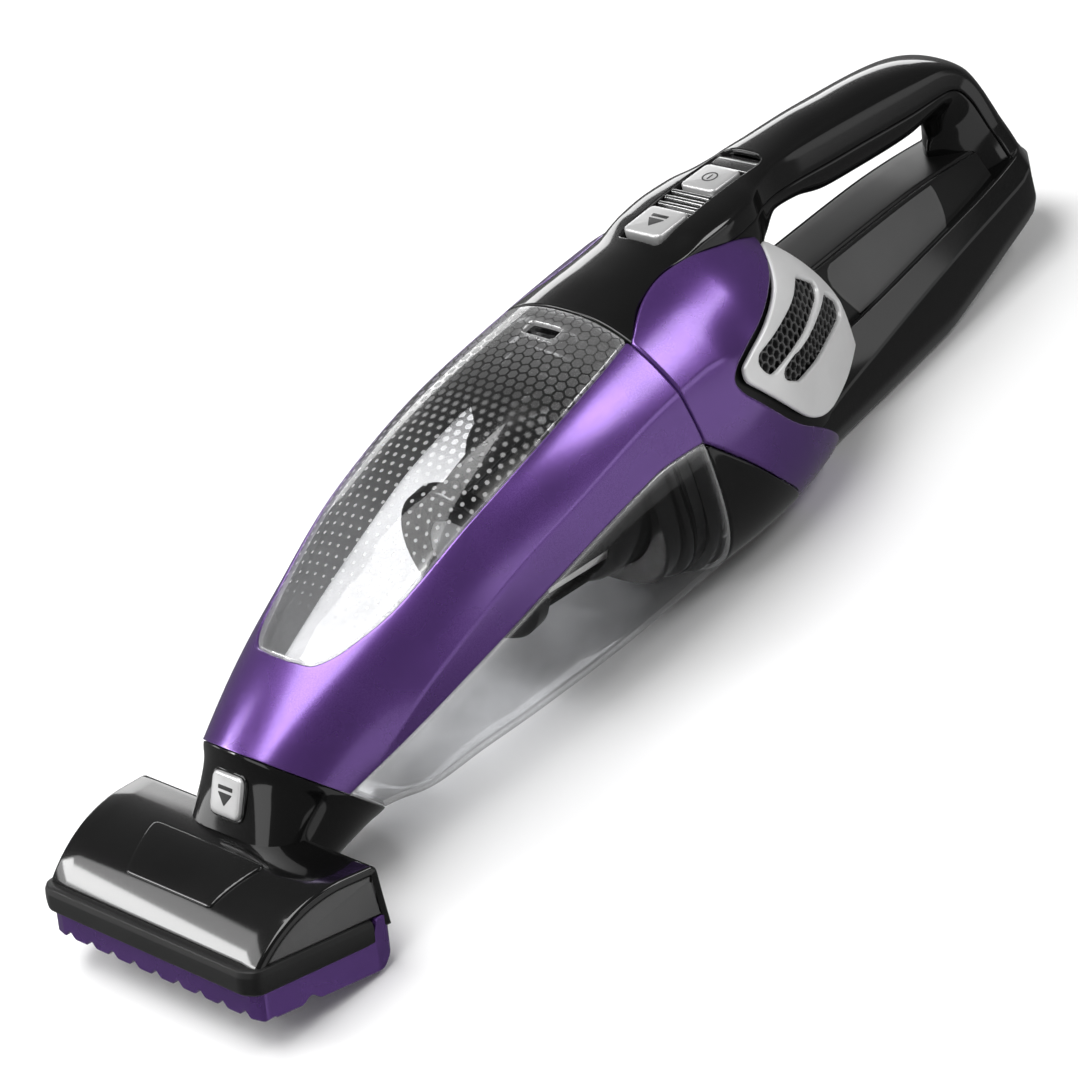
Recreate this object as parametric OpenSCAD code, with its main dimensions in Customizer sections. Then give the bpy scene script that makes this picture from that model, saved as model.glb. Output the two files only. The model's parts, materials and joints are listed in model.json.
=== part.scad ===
// Hand-held cordless vacuum cleaner with a motorised brush head.
// It lies on a table: the flat of the battery foot and the rear edge of the
// brush sole are at z = 0, the brush points to -X and the handle to +X.

/* [Body] */
// X of the joint face between dust bin and motor body
seam_x = 9; // [5:1:13]
// Wall of the motor body shells
body_wall = 2.2; // [1.8:0.1:2.6]
// Wall of the dust bin
bin_wall = 2; // [1.6:0.1:2.4]
// Height of the axis of filter, fan and motor
fan_z = 54; // [50:1:57]

/* [Handle] */
// Width of the hand grip
grip_w = 25; // [22:1:28]
// Half width of the battery housing inside the handle loop, at its foot
hump_half = 20.5; // [20:0.5:21]

/* [Buttons] */
// Clearance around each button
button_gap = 0.4; // [0.3:0.05:0.5]
// Side of the square brush release button at its collar
neck_button_w = 15.6; // [14:0.2:16]

/* [Brush head] */
// Upward tilt of the sole towards the front
sole_tilt = 17; // [16:1:19]
// Depth of the sole from its rear edge to its front edge
sole_depth = 48; // [46:1:50]
// Half width of the head at its front edge
head_front = 52; // [50:1:54]
// Half width of the head at its rear edge
head_rear = 58; // [56:1:60]
// Radius of the brush roll with its bristles
roll_r = 13.5; // [12:0.5:13.5]

/* [Nozzle] */
// Outer radius of the round spigot that carries the brush head
spigot_r = 16; // [15:0.5:16]
// Radial clearance between spigot and collar
spigot_gap = 0.3; // [0.2:0.05:0.4]

/* [Battery] */
// Radius of one cell
cell_r = 9.2; // [9:0.1:9.3]
// Length of one cell
cell_len = 65; // [60:1:66]
// Bore of the charging socket
socket_bore = 5.6; // [5:0.1:6]

/* [Hidden] */

$fn = 64;
far = 400;
slice_points = 40;

// Sections of the dust bin and the motor body, each a rounded oval:
// [x, half width, lowest z, highest z, squareness below, squareness above]
BIN = [
  [-115, 39, 7, 86, 2.5, 2.35],
  [-81, 44, 4.4, 97.3, 2.7, 2.4],
  [-36, 49, 2, 106, 2.9, 2.35],
  [seam_x, 51, 0.6, 108.5, 3, 2.15]
];
BODY = [
  [seam_x, 51, 0.6, 108.5, 3, 2.15],
  [30, 52, 0.3, 111, 3.2, 2.1],
  [50, 50.5, 0.3, 111.5, 3.4, 2.1],
  [70, 46, 0.3, 108, 3.4, 2.1],
  [90, 37, 0.3, 96, 3.2, 2.2],
  [108, 28, 2, 74, 2.8, 2.4]
];

// Joint plane between bin and brush head: centre, tilt and half axes
neck = [-160, 0, 37.5];
neck_tilt = 36.5;
neck_half = [30, 32];

// Rear lower edge of the brush sole
sole_edge = [-191, 0, 0];

// Rear end of the battery foot
foot_end = 236;

// Upper outline of cover and grip from the seam to the rear
TOP = [
  [seam_x, 107.6], [28, 111.4], [60, 112], [90, 110], [107, 108.4], [140, 105.2],
  [165, 100.4], [188, 93.2], [205, 84.6], [218, 74], [227, 61], [231.5, 46]
];

// Parting line between the upper grip shell and the handle frame
PARTING = [
  [60, 101], [90, 98], [112, 93.7], [142, 86.6], [173, 79.5], [194, 75.5], [205, 73],
  [212, 69], [217, 62.5], [220.5, 54], [222, 46]
];

track_w = 19;
button_w = track_w - 2 * button_gap;
power_w = 16;
release_x = [52, 69];
power_x = [82, 98];
track_x = [50, 109.5];
cell_x = 90;
port_z = 26;
duct_z = 37;
duct_end = -116;
flap_pin = [duct_end + 1, 0, 51.5];
roll_at = [30, 0, 12.6];
pulley_at = [8, 0, 19];

function top_z(x) = lookup(x, TOP);

function oval(half_w, half_h, low, high) = [
  for (i = [0:slice_points - 1])
    let (t = i * 360 / slice_points, p = sin(t) < 0 ? low : high)
    [half_w * sign(cos(t)) * pow(abs(cos(t)), 2 / p),
     half_h * sign(sin(t)) * pow(abs(sin(t)), 2 / p)]
];

module slice(s, grow) {
  translate([s[0], 0, (s[2] + s[3]) / 2])
    rotate([90, 0, 90])
      linear_extrude(0.02, center = true)
        polygon(oval(s[1] + grow, (s[3] - s[2]) / 2 + grow, s[4], s[5]));
}

module neck_slice(grow) {
  translate(neck)
    rotate([0, -neck_tilt, 0])
      rotate([90, 0, 90])
        linear_extrude(0.02, center = true)
          polygon(oval(neck_half[0] + grow, neck_half[1] + grow, 2, 2));
}

module bin_solid(grow) {
  hull() {
    neck_slice(grow);
    for (s = BIN)
      slice(s, grow);
  }
}

module body_solid(grow) {
  hull()
    for (s = BODY)
      slice(s, grow);
}

// Extrudes a side view outline, given as x and z, over a width in Y
module side(width) {
  rotate([90, 0, 0])
    linear_extrude(width, center = true)
      children();
}

module box_at(x, y, z) {
  translate([x[0], y[0], z[0]])
    cube([x[1] - x[0], y[1] - y[0], z[1] - z[0]]);
}

module along_x(x, r, z, y = 0) {
  translate([x[0], y, z])
    rotate([0, 90, 0])
      cylinder(h = x[1] - x[0], r = r);
}

// Local frame of the brush head: x forward along the sole, z up from it
module head_frame() {
  translate(sole_edge)
    rotate([0, sole_tilt, 0])
      mirror([1, 0, 0])
        children();
}

// Local frame of the neck: z runs out of the bin along the spigot
module neck_frame() {
  translate(neck)
    rotate([0, -90 - neck_tilt, 0])
      children();
}

// ---- outlines ----

// Closes an outline given from rear to front on one side of the middle
module both_sides(edge) {
  mirrored = [for (i = [len(edge) - 1:-1:0]) [edge[i][0], -edge[i][1]]];
  polygon(concat(edge, mirrored));
}

module cover_plan() {
  both_sides([
    [seam_x - 1, 30.3], [20, 24.5], [29, 20.8], [38, 18.2], [52, 20], [67, 22.6],
    [86, 21.4], [100, 15.5], [112, grip_w / 2]
  ]);
}

module cover_prism() {
  translate([0, 0, 70])
    linear_extrude(60)
      cover_plan();
}

module window_plan() {
  both_sides([
    [seam_x + 1, 28.6], [-5, 30.8], [-35, 33.6], [-69, 33.2], [-100, 30.6], [-123, 26],
    [-140, 19], [-144.5, 14], [-146.5, 4]
  ]);
}

module window_prism() {
  translate([0, 0, 56])
    linear_extrude(60)
      window_plan();
}

module purple_bin_side() {
  polygon([
    [-200, 130], [-200, 33], [-161, 41.5], [-129, 48.3], [-93, 56.2], [-43, 66.2],
    [-12, 69], [-2, 67.7], [seam_x + 1, 66], [seam_x + 1, 130]
  ]);
}

module purple_body_side() {
  polygon([
    [seam_x - 1, 130], [seam_x - 1, 66], [14, 59.5], [26, 44.5], [36, 30], [47, 15.5],
    [58, -5], [86, -5], [80, 14], [66, 30], [52, 42], [32, 70], [31, 76], [34, 79],
    [60, 84.5], [72, 88], [84, 93], [92, 130]
  ]);
}

module grille_side() {
  polygon([
    [83, 88], [94, 72], [103.5, 56], [108.5, 40], [108.5, 31], [94, 28.5], [78, 30.5],
    [68, 33], [60, 38.5], [53.5, 47], [35.5, 73], [37, 77], [60, 82], [71, 85]
  ]);
}

module recess_side() {
  polygon([
    [30, 72], [52, 40], [64, 27], [106, 27], [110, 56], [84, 94], [60, 87], [32, 80]
  ]);
}

module lower_side() {
  polygon([
    [seam_x - 1, -5], [seam_x - 1, 66], [14, 59.5], [26, 44.5], [36, 30], [47, 15.5], [58, -5]
  ]);
}

// ---- motor body ----

module shoulder_shell() {
  color("rebeccapurple")
    intersection() {
      difference() {
        body_solid(0);
        body_solid(-body_wall);
        cover_prism();
      }
      side(far)
        purple_body_side();
      box_at([seam_x, far], [-far, far], [-far, far]);
    }
}

module lower_housing() {
  color("black")
    intersection() {
      difference() {
        body_solid(0);
        body_solid(-body_wall);
      }
      side(far)
        lower_side();
      box_at([seam_x, far], [-far, far], [-far, far]);
    }
}

module top_band() {
  upper = [for (p = TOP) if (p[0] >= 60) p];
  lower = [for (i = [len(PARTING) - 1:-1:0]) PARTING[i]];
  polygon(concat([[42, 101], [42, top_z(42)]], upper, lower));
}

// Rounds the ridge of the cover across its width
module ridge_arch() {
  along_x([30, 300], 45, 67);
}

// The grip seen from above, rounded at its rear end
module grip_plan() {
  half = grip_w / 2;
  polygon([
    [111, half], [214, half], [222, half - 2.2], [228, half - 6], [231.6, 2], [231.6, -2],
    [228, 6 - half], [222, 2.2 - half], [214, -half], [111, -half]
  ]);
}

module top_cover() {
  color("black")
    difference() {
      union() {
        intersection() {
          difference() {
            body_solid(0);
            body_solid(-body_wall);
          }
          cover_prism();
          box_at([seam_x, 62], [-far, far], [-far, far]);
        }
        intersection() {
          side(far)
            top_band();
          union() {
            intersection() {
              cover_prism();
              ridge_arch();
            }
            linear_extrude(120)
              grip_plan();
          }
        }
      }
      box_at(track_x, [-track_w / 2, track_w / 2], [102.5, far]);
      box_at([0, 59.5], [-5.5, 5.5], [90, 104]);
    }
}

module handle_side() {
  upper = [for (p = PARTING) [p[0] - 0.1, p[1] - 0.1]];
  polygon(concat([[60, 82]], upper, [
    [231.6, 45.9], [233, 34.1], [194, 34.1], [198.5, 50], [199, 59], [195, 64.5],
    [182, 67], [161, 71.2], [140, 75.7], [132, 77.8], [126.5, 82], [121, 84.5],
    [114, 86.5], [103, 87], [98.5, 83], [97, 76], [90, 76], [80, 82]
  ]));
}

// Width of the rear post, seen from behind: it spreads towards the foot
module post_front() {
  half = grip_w / 2;
  polygon([
    [-20, 20], [20, 20], [20, 36], [half + 1.5, 60], [half, 68], [half, 120],
    [-half, 120], [-half, 68], [-half - 1.5, 60], [-20, 36]
  ]);
}

module post_plan() {
  polygon([
    [180, 21], [214, 21], [226, 14], [233, 6], [233, -6], [226, -14], [214, -21], [180, -21]
  ]);
}

module handle_frame() {
  color("black")
    difference() {
      intersection() {
        side(far)
          handle_side();
        union() {
          box_at([111, 199], [-grip_w / 2, grip_w / 2], [60, far]);
          intersection() {
            cover_prism();
            box_at([50, 112], [-far, far], [0, far]);
          }
          intersection() {
            translate([182, 0, 0])
              rotate([90, 0, 90])
                linear_extrude(60)
                  post_front();
            linear_extrude(120)
              post_plan();
            union() {
              linear_extrude(60)
                post_plan();
              linear_extrude(120)
                grip_plan();
            }
          }
        }
      }
      box_at([58, 103], [-10.5, 10.5], [84.5, far]);
      box_at([200, 222], [-9, 9], [0, 60]);
    }
}

module base_plan(half_front, half_rear, end_x) {
  polygon([
    [70, half_front], [end_x - 22, half_rear], [end_x - 8, half_rear * 0.66], [end_x, half_rear * 0.25],
    [end_x, -half_rear * 0.25], [end_x - 8, -half_rear * 0.66], [end_x - 22, -half_rear], [70, -half_front]
  ]);
}

module base_solid(grow) {
  intersection() {
    linear_extrude(60)
      base_plan(30 + grow, 25.5 + grow, foot_end + grow);
    side(far)
      polygon([
        [70, -grow], [156, -grow], [foot_end + 2, 19 - grow], [foot_end + 2, 34 + grow],
        [70, 34 + grow]
      ]);
    union() {
      side(far)
        polygon([[70, -grow], [240, -grow], [240, 33 + grow], [70, 13 + grow]]);
      box_at([70, 240], [-hump_half - 1 - grow, hump_half + 1 + grow], [0, 34 + grow]);
    }
  }
}

module base_shell() {
  color("black")
    difference() {
      base_solid(0);
      base_solid(-2);
      side(far)
        polygon([[60, -5], [86.1, -5], [80.1, 14], [66, 30.2], [60, 40]]);
      side(far)
        polygon([[60, 34], [66, 30.1], [78, 20.3], [84, 27], [84, 60], [60, 60]]);
      charging_port(6.2, 20);
      box_at([88, 184], [-12, 12], [25, 40]);
      intersection() {
        body_solid(0.1);
        side(far)
          polygon([[50, 46], [60, 30], [78, 24.5], [94, 24.5], [120, 26], [120, 60], [50, 60]]);
      }
    }
}

// Battery housing inside the loop: its sides lean in and its top falls to the rear
module hump_solid(grow) {
  lean = 9.3;
  end = 192 + grow;
  intersection() {
    side(far)
      polygon([
        [96, 34.1], [96, 57.5 + grow], [120, 55.2 + grow], [148, 52.7 + grow],
        [172, 50 + grow], [190, 47 + grow], [end, 45 + grow], [end, 34.1]
      ]);
    translate([90, 0, 0])
      rotate([90, 0, 90])
        linear_extrude(120)
          polygon([
            [-hump_half - grow, 34.1], [lean - hump_half - grow, 59],
            [hump_half - lean + grow, 59], [hump_half + grow, 34.1]
          ]);
  }
}

module hump_shell() {
  color("dimgray")
    difference() {
      hump_solid(0);
      hump_solid(-2);
      body_solid(0.3);
    }
}

module vent_slots() {
  side(far)
    polygon([[45, 74.5], [48, 67.8], [91, 66.7], [95, 68.2], [86.6, 77], [79.4, 75.8]]);
  side(far)
    polygon([[52, 63.3], [60.5, 56.3], [102.6, 50], [104, 53], [99, 60.8], [90, 60.4]]);
}

module vent_grille() {
  color("lightgray")
    difference() {
      intersection() {
        difference() {
          body_solid(0);
          body_solid(-body_wall);
        }
        side(far)
          grille_side();
        box_at([0, far], [-far, -12], [22, far]);
      }
      cover_prism();
      vent_slots();
      hump_solid(0.3);
    }
}

module vent_grille_right() {
  vent_grille();
}

module vent_grille_left() {
  mirror([0, 1, 0])
    vent_grille();
}

module vent_mesh() {
  color("black")
    difference() {
      intersection() {
        difference() {
          body_solid(-body_wall - 0.1);
          body_solid(-body_wall - 1.2);
        }
        side(far)
          recess_side();
        box_at([0, far], [-far, -hump_half - 0.3], [27, far]);
      }
      cover_prism();
    }
}

module vent_mesh_right() {
  vent_mesh();
}

module vent_mesh_left() {
  mirror([0, 1, 0])
    vent_mesh();
}

module button_track() {
  color("silver")
    difference() {
      track_body();
      box_at([53.3, 58.7], [-4.7, 4.7], [100, 106]);
    }
}

module track_body() {
  intersection() {
    box_at([track_x[0] + 0.2, track_x[1] - 0.2], [-8.6, 8.6], [99, far]);
    side(far)
      difference() {
        polygon([
          [50, 102.6], [50, 104.2], [70, 104.2], [70, 112], [81, 111.2], [81, 104.2],
          [99.2, 104.2], [99.2, 109.8], [108, 109], [109.4, 105], [109.4, 102.6]
        ]);
        for (x = [72.5, 75.5, 78.5])
          translate([x, 112])
            circle(r = 0.9, $fn = 24);
      }
  }
}

module filter_seat() {
  color("black")
    difference() {
      intersection() {
        hull() {
          slice([seam_x - 12, 49, 1.7, 107, 2.5, 2.1], -bin_wall - 0.5);
          slice([seam_x + 4, 50, 1.7, 107, 2.5, 2.1], -bin_wall - 0.6);
        }
        box_at([seam_x - 11, seam_x + 3], [-far, far], [-far, 99]);
      }
      intersection() {
        hull() {
          slice([seam_x - 14, 46, 4.5, 103, 2.5, 2.1], -bin_wall - 0.5);
          slice([seam_x + 0.5, 47, 4.5, 103, 2.5, 2.1], -bin_wall - 0.5);
        }
        box_at([-far, seam_x + 0.5], [-far, far], [-far, 96.5]);
      }
      along_x([seam_x - 1, seam_x + 5], 24, fan_z);
      box_at([-12, 20], [-7.5, 7.5], [94, 120]);
    }
}

module fan_impeller() {
  color("gray")
    union() {
      along_x([21, 22.5], 29, fan_z);
      difference() {
        along_x([22, 30], 7, fan_z);
        along_x([26, 31], 2.05, fan_z);
      }
      for (a = [0:40:320])
        translate([0, 0, fan_z])
          rotate([a, 0, 0])
            box_at([22, 29], [-0.6, 0.6], [6.5, 28]);
    }
}

module motor_can() {
  color("silver")
    union() {
      along_x([37, 82], 17.5, fan_z);
      along_x([33.2, 38], 8, fan_z);
      along_x([26.2, 34], 2, fan_z);
      along_x([81, 85], 6, fan_z);
    }
}

module motor_plate() {
  color("black")
    difference() {
      along_x([41, 44], 40, fan_z);
      along_x([40, 45], 17.5, fan_z);
      for (a = [45:90:315])
        translate([0, 0, fan_z])
          rotate([a, 0, 0])
            along_x([40, 45], 5, 29);
    }
}

module cell(y, z) {
  color("seagreen")
    union() {
      along_x([cell_x, cell_x + cell_len - 1.2], cell_r, z, y);
      along_x([cell_x + cell_len - 2, cell_x + cell_len], 3, z, y);
    }
}

module cell_left() {
  cell(9.4, 11.6);
}

module cell_right() {
  cell(-9.4, 11.6);
}

module cell_top() {
  cell(0, 30);
}

module switch_board() {
  color("darkgreen")
    box_at([64, 101], [-9, 9], [86, 87.6]);
}

module charging_port(radius, depth) {
  translate([foot_end + 2 - depth, 0, port_z])
    rotate([0, 90, 0])
      cylinder(h = depth + 4, r = radius);
}

module charging_socket() {
  color("dimgray")
    difference() {
      along_x([foot_end - 14, foot_end], 6, port_z);
      along_x([foot_end - 10, foot_end + 1], socket_bore / 2, port_z);
    }
}

// ---- buttons ----

module power_button() {
  color("lightgray")
    side(power_w)
      polygon([
        [power_x[0], 106.5], [power_x[0], 110.6], [power_x[0] + 1, 111.3],
        [power_x[1] - 1, 110.1], [power_x[1], 109.4], [power_x[1], 106.5]
      ]);
}

module bin_release_button() {
  color("lightgray")
    union() {
      side(button_w)
        polygon([
          [release_x[0] - 0.2, 106.5], [release_x[0] - 0.2, 112.4], [release_x[0] + 1, 113.2],
          [release_x[1] - 1, 112.4], [release_x[1], 111.6], [release_x[1], 106.5]
        ]);
      box_at([54, 58], [-4, 4], [97, 107]);
      box_at([-4, 58], [-4, 4], [97, 99.5]);
      box_at([-4, 0], [-6.5, 6.5], [99, 104.4]);
    }
}

// ---- dust bin ----

module bin_wall_solid() {
  difference() {
    intersection() {
      bin_solid(0);
      box_at([-far, seam_x - 0.1], [-far, far], [-far, far]);
    }
    difference() {
      bin_solid(-bin_wall);
      neck_frame()
        translate([-60, -60, -3])
          cube([120, 120, 4]);
    }
    box_at([seam_x - 0.5, far], [-far, far], [-far, far]);
    neck_frame()
      translate([0, 0, -10])
        cylinder(h = 20, r = spigot_r);
  }
}

module bin_window() {
  color("gainsboro", 0.4)
    difference() {
      intersection() {
        bin_wall_solid();
        window_prism();
      }
      box_at([-4.8, 0.8], [-7.5, 7.5], [90, far]);
    }
}

module bin_frame() {
  color("rebeccapurple")
    difference() {
      intersection() {
        bin_wall_solid();
        side(far)
          purple_bin_side();
      }
      window_prism();
    }
}

module tank_shell() {
  color("gainsboro", 0.4)
    difference() {
      bin_wall_solid();
      side(far)
        purple_bin_side();
    }
}

module nozzle_spigot() {
  color("black")
    neck_frame()
      difference() {
        translate([0, 0, -3])
          cylinder(h = 19, r = spigot_r);
        translate([0, 0, -4])
          cylinder(h = 21, r = spigot_r - 2);
      }
}

module cross_pin(radius, length) {
  translate(flap_pin)
    rotate([90, 0, 0])
      cylinder(h = length, r = radius, center = true);
}

module inlet_duct() {
  color("gainsboro", 0.5)
    difference() {
      union() {
        along_x([-168, duct_end], 13, duct_z);
        for (s = [-1, 1])
          box_at([duct_end - 5, duct_end + 3], [s * 6.4 - 1, s * 6.4 + 1], [46, 54]);
      }
      along_x([-190, duct_end + 4], 11.4, duct_z);
      neck_frame()
        translate([-60, -60, -3])
          cube([120, 120, 60]);
      cross_pin(1.5, 20);
      cross_pin(2.8, 10.6);
    }
}

module inlet_flap() {
  color("dimgray")
    difference() {
      union() {
        along_x([duct_end + 0.4, duct_end + 1.6], 12.6, duct_z);
        cross_pin(1.44, 14.4);
        cross_pin(2.4, 10.2);
        box_at([duct_end + 0.4, duct_end + 1.6], [-4, 4], [44, 51]);
      }
      for (s = [-1, 1])
        box_at([duct_end, duct_end + 2], [s * 6.4 - 1.3, s * 6.4 + 1.3], [45, 49.5]);
    }
}

// ---- filter ----

module filter_cage() {
  color("black")
    union() {
      difference() {
        along_x([-8, seam_x + 0.4], 37, fan_z);
        along_x([-9, seam_x + 1], 34, fan_z);
      }
      difference() {
        along_x([-66, -59], 27, fan_z);
        along_x([-67, -58], 17, fan_z);
      }
      difference() {
        along_x([-60, -57], 24, fan_z);
        along_x([-61, -56], 21.5, fan_z);
      }
      for (a = [0:90:270])
        translate([0, 0, fan_z])
          rotate([a, 0, 0])
            side(11)
              polygon([[-60, 23.5], [-60, 27], [-7, 37], [-7, 34.2]]);
    }
}

module filter_fabric() {
  color("whitesmoke")
    difference() {
      translate([-58.8, 0, fan_z])
        rotate([0, 90, 0])
          cylinder(h = 52, r1 = 23, r2 = 32);
      translate([-58.9, 0, fan_z])
        rotate([0, 90, 0])
          cylinder(h = 52.2, r1 = 20.6, r2 = 29.6);
      along_x([-59, -56.9], 24.1, fan_z);
    }
}

module filter_disc() {
  color("lightgray")
    difference() {
      along_x([-64, -61], 17, fan_z);
      translate([-66, 0, fan_z])
        sphere(r = 5.5);
    }
}

// ---- brush head ----

module head_plan(grow) {
  polygon([
    [-5, head_rear + grow], [sole_depth + 1.5, head_front + grow],
    [sole_depth + 1.5, -head_front - grow], [-5, -head_rear - grow]
  ]);
}

// Side outline of the cover: an arc rises from the front lip to a flat top
module cover_side(grow) {
  radius = 46.4 + grow;
  polygon(concat(
    [[-4.2 - grow, 14], [-0.6 - grow, 36.6 + grow]],
    [for (a = [90:-5.25:37.5]) [12 + radius * cos(a), -9.4 + radius * sin(a)]],
    [[sole_depth + 1 + grow, 14]]
  ));
}

module head_body(grow) {
  intersection() {
    side(far)
      cover_side(grow);
    linear_extrude(80)
      head_plan(grow);
  }
}

module collar_solid() {
  hull() {
    neck_slice(0);
    head_frame()
      box_at([-5, 14], [-23, 23], [15, 37]);
  }
}

module neck_collar() {
  color("dimgray")
    difference() {
      collar_solid();
      head_frame()
        head_body(0.1);
      neck_frame()
        translate([0, 0, -1])
          cylinder(h = 60, r = spigot_r + spigot_gap);
      neck_frame()
        translate([-60, -60, -60])
          cube([120, 120, 60.1]);
      neck_button_frame()
        square_post(neck_button_w + 2 * button_gap, -6, 20);
    }
}

module square_post(width, low, height) {
  translate([-width / 2, -width / 2, low])
    cube([width, width, height]);
}

// Frame of the brush release button: z points out of the collar's front
module neck_button_frame() {
  translate([-186.4, 0, 50.6])
    rotate([0, -57.5, 0])
      children();
}

module neck_release_button() {
  color("lightgray")
    neck_button_frame()
      union() {
        square_post(neck_button_w, -3, 4);
        square_post(neck_button_w - 2, 0.9, 0.9);
      }
}

module brush_cover() {
  color("black")
    head_frame()
      difference() {
        union() {
          head_body(0);
          intersection() {
            head_body(0.8);
            badge_plate();
          }
        }
        head_body(-2);
        for (s = [-1, 1])
          translate([0, s * (head_rear - 3.05), 0])
            rotate([0, 0, -s * cap_turn])
              end_cap_core(3.6, s);
        box_at([-10, 2], [-14, 14], [10, 31]);
        bumper_band();
      }
}

// Raised plain plate on the front of the cover
module badge_plate() {
  linear_extrude(60)
    polygon([[20, 22], [40, 15], [40, -15], [20, -22]]);
}

// D shaped end cap in the head frame, s is the side it lies on
module end_cap_core(thick, s) {
  translate([0, s * thick / 2, 0])
    side(thick)
      intersection() {
        cover_side(-2.6);
        translate([-10, 18.6])
          square([80, 60]);
      }
}

module end_cap(s) {
  color("dimgray")
    head_frame()
      translate([0, s * (head_rear - 3), 0])
        rotate([0, 0, -s * cap_turn])
          end_cap_core(2.6, s);
}

module end_cap_left() {
  end_cap(1);
}

module end_cap_right() {
  end_cap(-1);
}

// Angle of the head's sides in plan
cap_turn = atan((head_rear - head_front) / (sole_depth + 6.5));

// Band around the front and the sides of the head
module bumper_band() {
  difference() {
    intersection() {
      translate([0, 0, 10.2])
        linear_extrude(8.2)
          polygon([
            [4, head_rear + 0.6], [50.5, head_front + 1.6], [53, head_front - 1], [53, -head_front + 1],
            [50.5, -head_front - 1.6], [4, -head_rear - 0.6]
          ]);
      box_at([4, 80], [-far, far], [0, 60]);
    }
    translate([0, 0, 5])
      linear_extrude(20)
        polygon([
          [3, head_rear - 3.2], [sole_depth - 0.6, head_front - 2.4],
          [sole_depth - 0.6, -head_front + 2.4], [3, -head_rear + 3.2]
        ]);
  }
}

module bumper() {
  color("black")
    head_frame()
      bumper_band();
}

module brush_sole() {
  color("rebeccapurple")
    head_frame()
      difference() {
        intersection() {
          linear_extrude(13.9)
            head_plan(-0.2);
          side(far)
            polygon([[-4, 13.9], [-3.6, 6], [0, 0], [46, 0], [49, 4], [49.2, 13.9]]);
        }
        box_at([15, 45], [-43, 43], [-1, 20]);
        box_at([0, 16], [-42.5, 48.4], [2, 20]);
        box_at([14, 40], [42, 48.4], [3, 20]);
        for (s = [-1, 1])
          box_at([24.8, 35.2], s > 0 ? [42, 51] : [-51, -42], [6.2, 20]);
        bumper_band();
        for (i = [-4:4])
          translate([46, i * 11, -0.6])
            rotate([0, 90, 0])
              cylinder(h = 10, r = 2, center = true);
      }
}

// Lies along Y in the head frame, between the given y values
module along_y(at, y, r) {
  translate([at[0], y[1], at[2]])
    rotate([90, 0, 0])
      cylinder(h = y[1] - y[0], r = r);
}

module brush_core() {
  color("dimgray")
    head_frame()
      difference() {
        union() {
          along_y(roll_at, [-41, 41], 8.5);
          along_y(roll_at, [-50.2, 50.2], 2.5);
          along_y(roll_at, [43.5, 47.5], 7);
        }
        tuft_rows();
      }
}

// Blocks of tufts that step around the roll like a V, rooted in the core
module tuft_rows() {
  steps = 6;
  width = 6.6;
  root = 7.5;
  translate(roll_at)
    rotate([90, 0, 0])
      for (a = [0:90:270], k = [-1, 1], i = [0:steps - 1])
        rotate([0, 0, a + i * 9])
          translate([root, -1.4, k > 0 ? i * width : -(i + 1) * width])
            cube([roll_r - root, 2.8, width]);
}

module bristle_rows() {
  color("darkslategray")
    head_frame()
      tuft_rows();
}

module bearing_block(s) {
  color("gray")
    head_frame()
      difference() {
        translate([0, s * 49.4, 0])
          box_at([25, 35], [-1.4, 1.4], [6.4, 19]);
        along_y(roll_at, [-60, 60], 2.56);
      }
}

module bearing_left() {
  bearing_block(1);
}

module bearing_right() {
  bearing_block(-1);
}

module brush_motor() {
  color("silver")
    head_frame()
      difference() {
        along_y(pulley_at, [18, 42], 8);
        along_y(pulley_at, [39, 43], 1.3);
      }
}

module motor_pulley() {
  color("dimgray")
    head_frame()
      union() {
        along_y(pulley_at, [43.5, 47.5], 3.6);
        along_y(pulley_at, [39.2, 44], 1.24);
      }
}

// Loop around both pulleys, grown outwards from their running radii
module belt_loop(grow, width) {
  side(width)
    hull() {
      translate([roll_at[0], roll_at[2]])
        circle(r = 7 + grow, $fn = 32);
      translate([pulley_at[0], pulley_at[2]])
        circle(r = 3.6 + grow, $fn = 32);
    }
}

module drive_belt() {
  color("black")
    head_frame()
      translate([0, 45.5, 0])
        difference() {
          belt_loop(1.5, 3.4);
          belt_loop(0.35, 8);
        }
}

shoulder_shell();
lower_housing();
top_cover();
handle_frame();
base_shell();
hump_shell();
vent_grille_left();
vent_grille_right();
vent_mesh_left();
vent_mesh_right();
button_track();
filter_seat();
fan_impeller();
motor_can();
motor_plate();
cell_left();
cell_right();
cell_top();
switch_board();
charging_socket();
power_button();
bin_release_button();
bin_window();
bin_frame();
tank_shell();
nozzle_spigot();
inlet_duct();
inlet_flap();
filter_cage();
filter_fabric();
filter_disc();
neck_collar();
neck_release_button();
brush_cover();
end_cap_left();
end_cap_right();
bumper();
brush_sole();
brush_motor();
motor_pulley();
drive_belt();
brush_core();
bristle_rows();
bearing_left();
bearing_right();
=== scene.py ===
"""Looks of the hand-held cordless vacuum cleaner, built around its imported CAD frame.

Shapes are worked out in millimetres in the row frame and turned into metres when a piece is made.
"""

import json
import math

import bmesh
import bpy
import numpy as np
from mathutils import Matrix, Vector


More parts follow.
